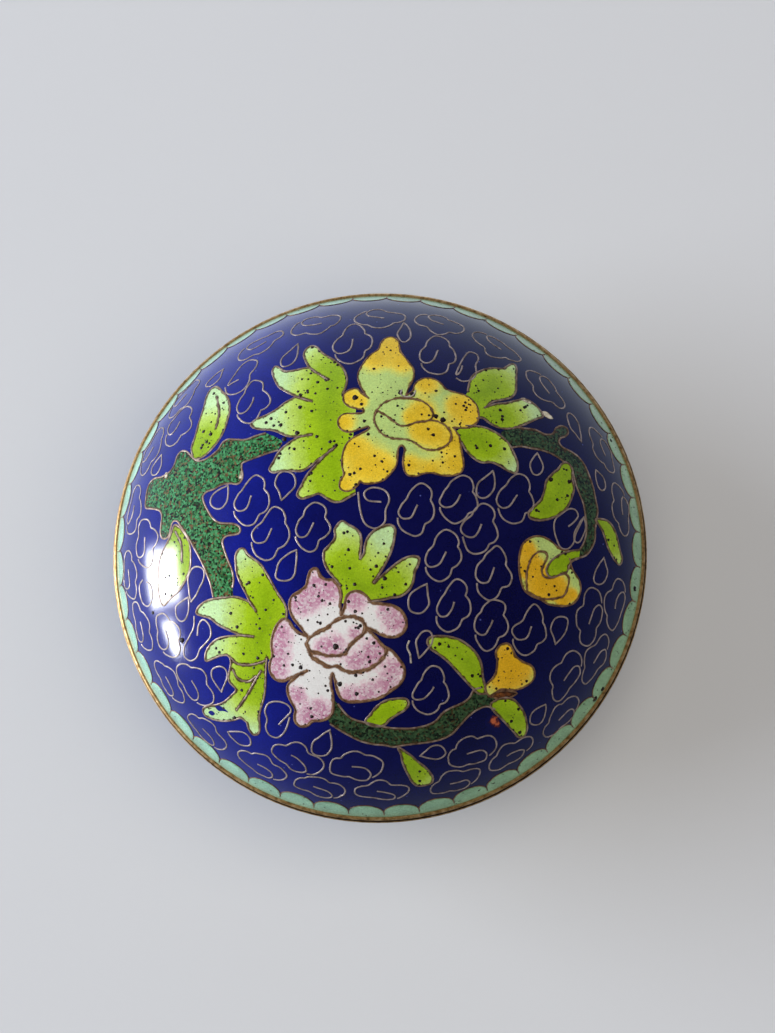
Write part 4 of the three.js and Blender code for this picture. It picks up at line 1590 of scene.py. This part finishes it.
pitForm = {
    "sides": 9,
    "uneven": 0.16,                  # share of its radius that a pit's outline wavers
    "lift": 0.052,                   # mm, just above the highest cell
    "depth": 0.1,
    "speckCount": 1000,              # or a few more in the figures, the large pits among them
    "speckRadius": (0.06, 0.26),     # most are near the smaller
    "span": 42,                      # mm from the middle, which takes in every figure
    "batch": 400,                    # places tried at a time
    "borderSpecks": 110,
    "borderRadius": (0.05, 0.13),
    "borderReach": (41.6, 44.2),     # mm along the surface from the middle
    "borderSide": (-25, 50),         # degrees: the middle and the spread of where they lie
    "seed": 7,
}


def makePits():
    sides, uneven = pitForm["sides"], pitForm["uneven"]
    rng = np.random.default_rng(pitForm["seed"])
    radii = 1 + rng.uniform(-uneven, uneven, sides)
    ring = [polar(r, math.tau * k / sides) for k, r in enumerate(radii)]
    points = [(u * mm, v * mm, z * mm) for z in (pitForm["lift"], -pitForm["depth"]) for u, v in ring]
    polygons = [tuple(range(sides)), tuple(reversed(range(sides, 2 * sides)))]
    polygons += [((k + 1) % sides, k, k + sides, (k + 1) % sides + sides) for k in range(sides)]
    base = bpy.data.meshes.new("pitBase")
    base.from_pydata(points, [], polygons)
    loops = [outlineLoop(part["outline"]) for label, figure in figures.items()
             for part in figure["cells"] if "Branch" not in label]
    rows = [(u, v, rng.uniform(0, 360), r, r) for u, v, r in lidPits]
    low, high = pitForm["speckRadius"]
    span, batch = pitForm["span"], pitForm["batch"]
    while len(rows) < pitForm["speckCount"]:
        tries = rng.uniform(-span, span, (batch, 2))
        inside = np.any([insideLoop(tries, loop) for loop in loops], axis=0)
        for u, v in tries[inside]:
            r = low + (high - low) * rng.random() ** 3
            rows.append((u, v, rng.uniform(0, 360), r, r))
    # fine specks in the border, most of them on one side
    for _ in range(pitForm["borderSpecks"]):
        reach = rng.uniform(*pitForm["borderReach"])
        angle = math.radians(rng.normal(*pitForm["borderSide"]))
        r = rng.uniform(*pitForm["borderRadius"])
        rows.append((*polar(reach, angle), 0, r, r))
    piece = grow("lidPits", cells, {"Marks": helperMarks("pitMarks", rows), "Repeat": True, **onLid,
                                    "Finish": finishes["pit"]}, base)
    keepPiece(piece, "cobalt_enamel")


makePits()
print("pits made")

for helper in helpers:
    bpy.data.objects.remove(helper)

# The floor, which isn't part of the box
floorForm = {"size": 12.0, "color": "#CBD0D6"}


def makeFloor():
    half = floorForm["size"] / 2
    mesh = bpy.data.meshes.new("floor")
    mesh.from_pydata([(-half, -half, 0), (half, -half, 0), (half, half, 0), (-half, half, 0)], [],
                     [(0, 1, 2, 3)])
    floor = newObject("floor", mesh)
    finish, _, shader = newFinish("floorPaper", Roughness=0.9, Specular_IOR_Level=0.0)
    shader.inputs["Base Color"].default_value = hexColor(floorForm["color"])
    mesh.materials.append(finish)
    floor.visible_glossy = False    # the lower half of the world is reflected in its place


viewForm = {
    "lens": 73.3, "sensor": 36,            # mm
    "distance": 300.0,                     # mm
    "toward": (0.0655, -0.159, 0.9851),    # from the box to the camera
    "right": 1.455, "up": 4.993,           # mm from the middle of the lid's edge to what it aims at
}


def makeCamera():
    data = bpy.data.cameras.new("camera")
    data.lens = viewForm["lens"]
    data.sensor_width = viewForm["sensor"]
    data.sensor_fit = "AUTO"
    data.dof.use_dof = False
    data.clip_start = 0.01
    back = Vector(viewForm["toward"]).normalized()
    north = Vector((0, 1, 0))
    up = (north - back * north.dot(back)).normalized()
    right = up.cross(back)
    target = Vector((0, 0, level["lidEdge"])) + right * viewForm["right"] + up * viewForm["up"]
    spot = (target + back * viewForm["distance"]) * mm
    camera = newObject("camera", data)
    camera.matrix_world = Matrix((right, up, back)).transposed().to_4x4()
    camera.location = spot
    bpy.context.scene.camera = camera


def areaLight(name, place, toward, size, power, color):
    data = bpy.data.lights.new(name, "AREA")
    data.shape = "RECTANGLE"
    data.size, data.size_y = size
    data.energy = power
    data.color = hexColor(color)[:3]
    light = newObject(name, data)
    light.location = place
    light.rotation_euler = (Vector(toward) - Vector(place)).to_track_quat("-Z", "Y").to_euler()
    return light


# The window is reflected in the enamel as three panes, which add only such reflections. The soft
# lights do the rest, and aren't reflected. Places and sizes are in metres, power in watts.
paneColor = "#F4F8FF"
paneAim = (0, -0.008, 0.03)
lightForm = {
    "panes": [    # name, place, aim, size, power, colour
        ("window", (-0.22, -0.006, 0.045), paneAim, (0.05, 0.072), 0.44, paneColor),
        ("windowGlow", (-0.222, -0.006, 0.042), paneAim, (0.062, 0.09), 0.12, paneColor),
        ("windowBelow", (-0.22, -0.068, 0.036), paneAim, (0.036, 0.034), 0.12, paneColor),
    ],
    "softs": [
        ("daylight", (-1.05, 0.15, 0.4), (0, 0, 0), (1.0, 0.7), 18.0, "#F6F9FF"),
        ("room", (0.35, -0.1, 1.3), (0, 0, 0), (1.8, 1.8), 17.0, "#FFF3E2"),
    ],
    # the world's colour, from straight down at 0 to straight up at 1
    "world": [(0.05, "#26282E"), (0.15, "#DDE6F0"), (0.4, "#A9B6CC"), (0.55, "#828CAC"),
              (0.7, "#666E88"), (0.83, "#3E4354"), (1.0, "#15161B")],
    "worldSide": (-0.6, 0.75, 0),    # the way in which it is brightest
    "worldStrength": 0.85,           # halfway round
    "worldLeast": 0.34,
}


def makeLights():
    for pane in lightForm["panes"]:
        areaLight(*pane).visible_diffuse = False
    for soft in lightForm["softs"]:
        areaLight(*soft).visible_glossy = False
    # the room itself, paler toward the window and low down, and dark straight down, where the box
    # shades what it stands on
    world = bpy.data.worlds.new("room")
    world.use_nodes = True
    tree = world.node_tree
    way = addNode(tree, "ShaderNodeTexCoord").outputs["Generated"]
    toward = addNode(tree, "ShaderNodeSeparateXYZ", i0=way)
    upward = addNode(tree, "ShaderNodeMapRange", i0=toward.outputs[2], i1=-1.0, i2=1.0)
    color = setStops(addNode(tree, "ShaderNodeValToRGB", Fac=upward), lightForm["world"])
    side = addNode(tree, "ShaderNodeVectorMath", operation="DOT_PRODUCT",
                   i0=way, i1=lightForm["worldSide"])
    bright = addNode(tree, "ShaderNodeMath", operation="ADD",
                     i0=side.outputs["Value"], i1=lightForm["worldStrength"])
    strength = addNode(tree, "ShaderNodeMath", operation="MAXIMUM",
                       i0=bright, i1=lightForm["worldLeast"])
    shader = tree.nodes["Background"]
    tree.links.new(color.outputs[0], shader.inputs["Color"])
    tree.links.new(strength.outputs[0], shader.inputs["Strength"])
    bpy.context.scene.world = world


makeFloor()
makeCamera()
makeLights()
bpy.context.scene.view_settings.view_transform = "Standard"
print("stage, camera and lights made")
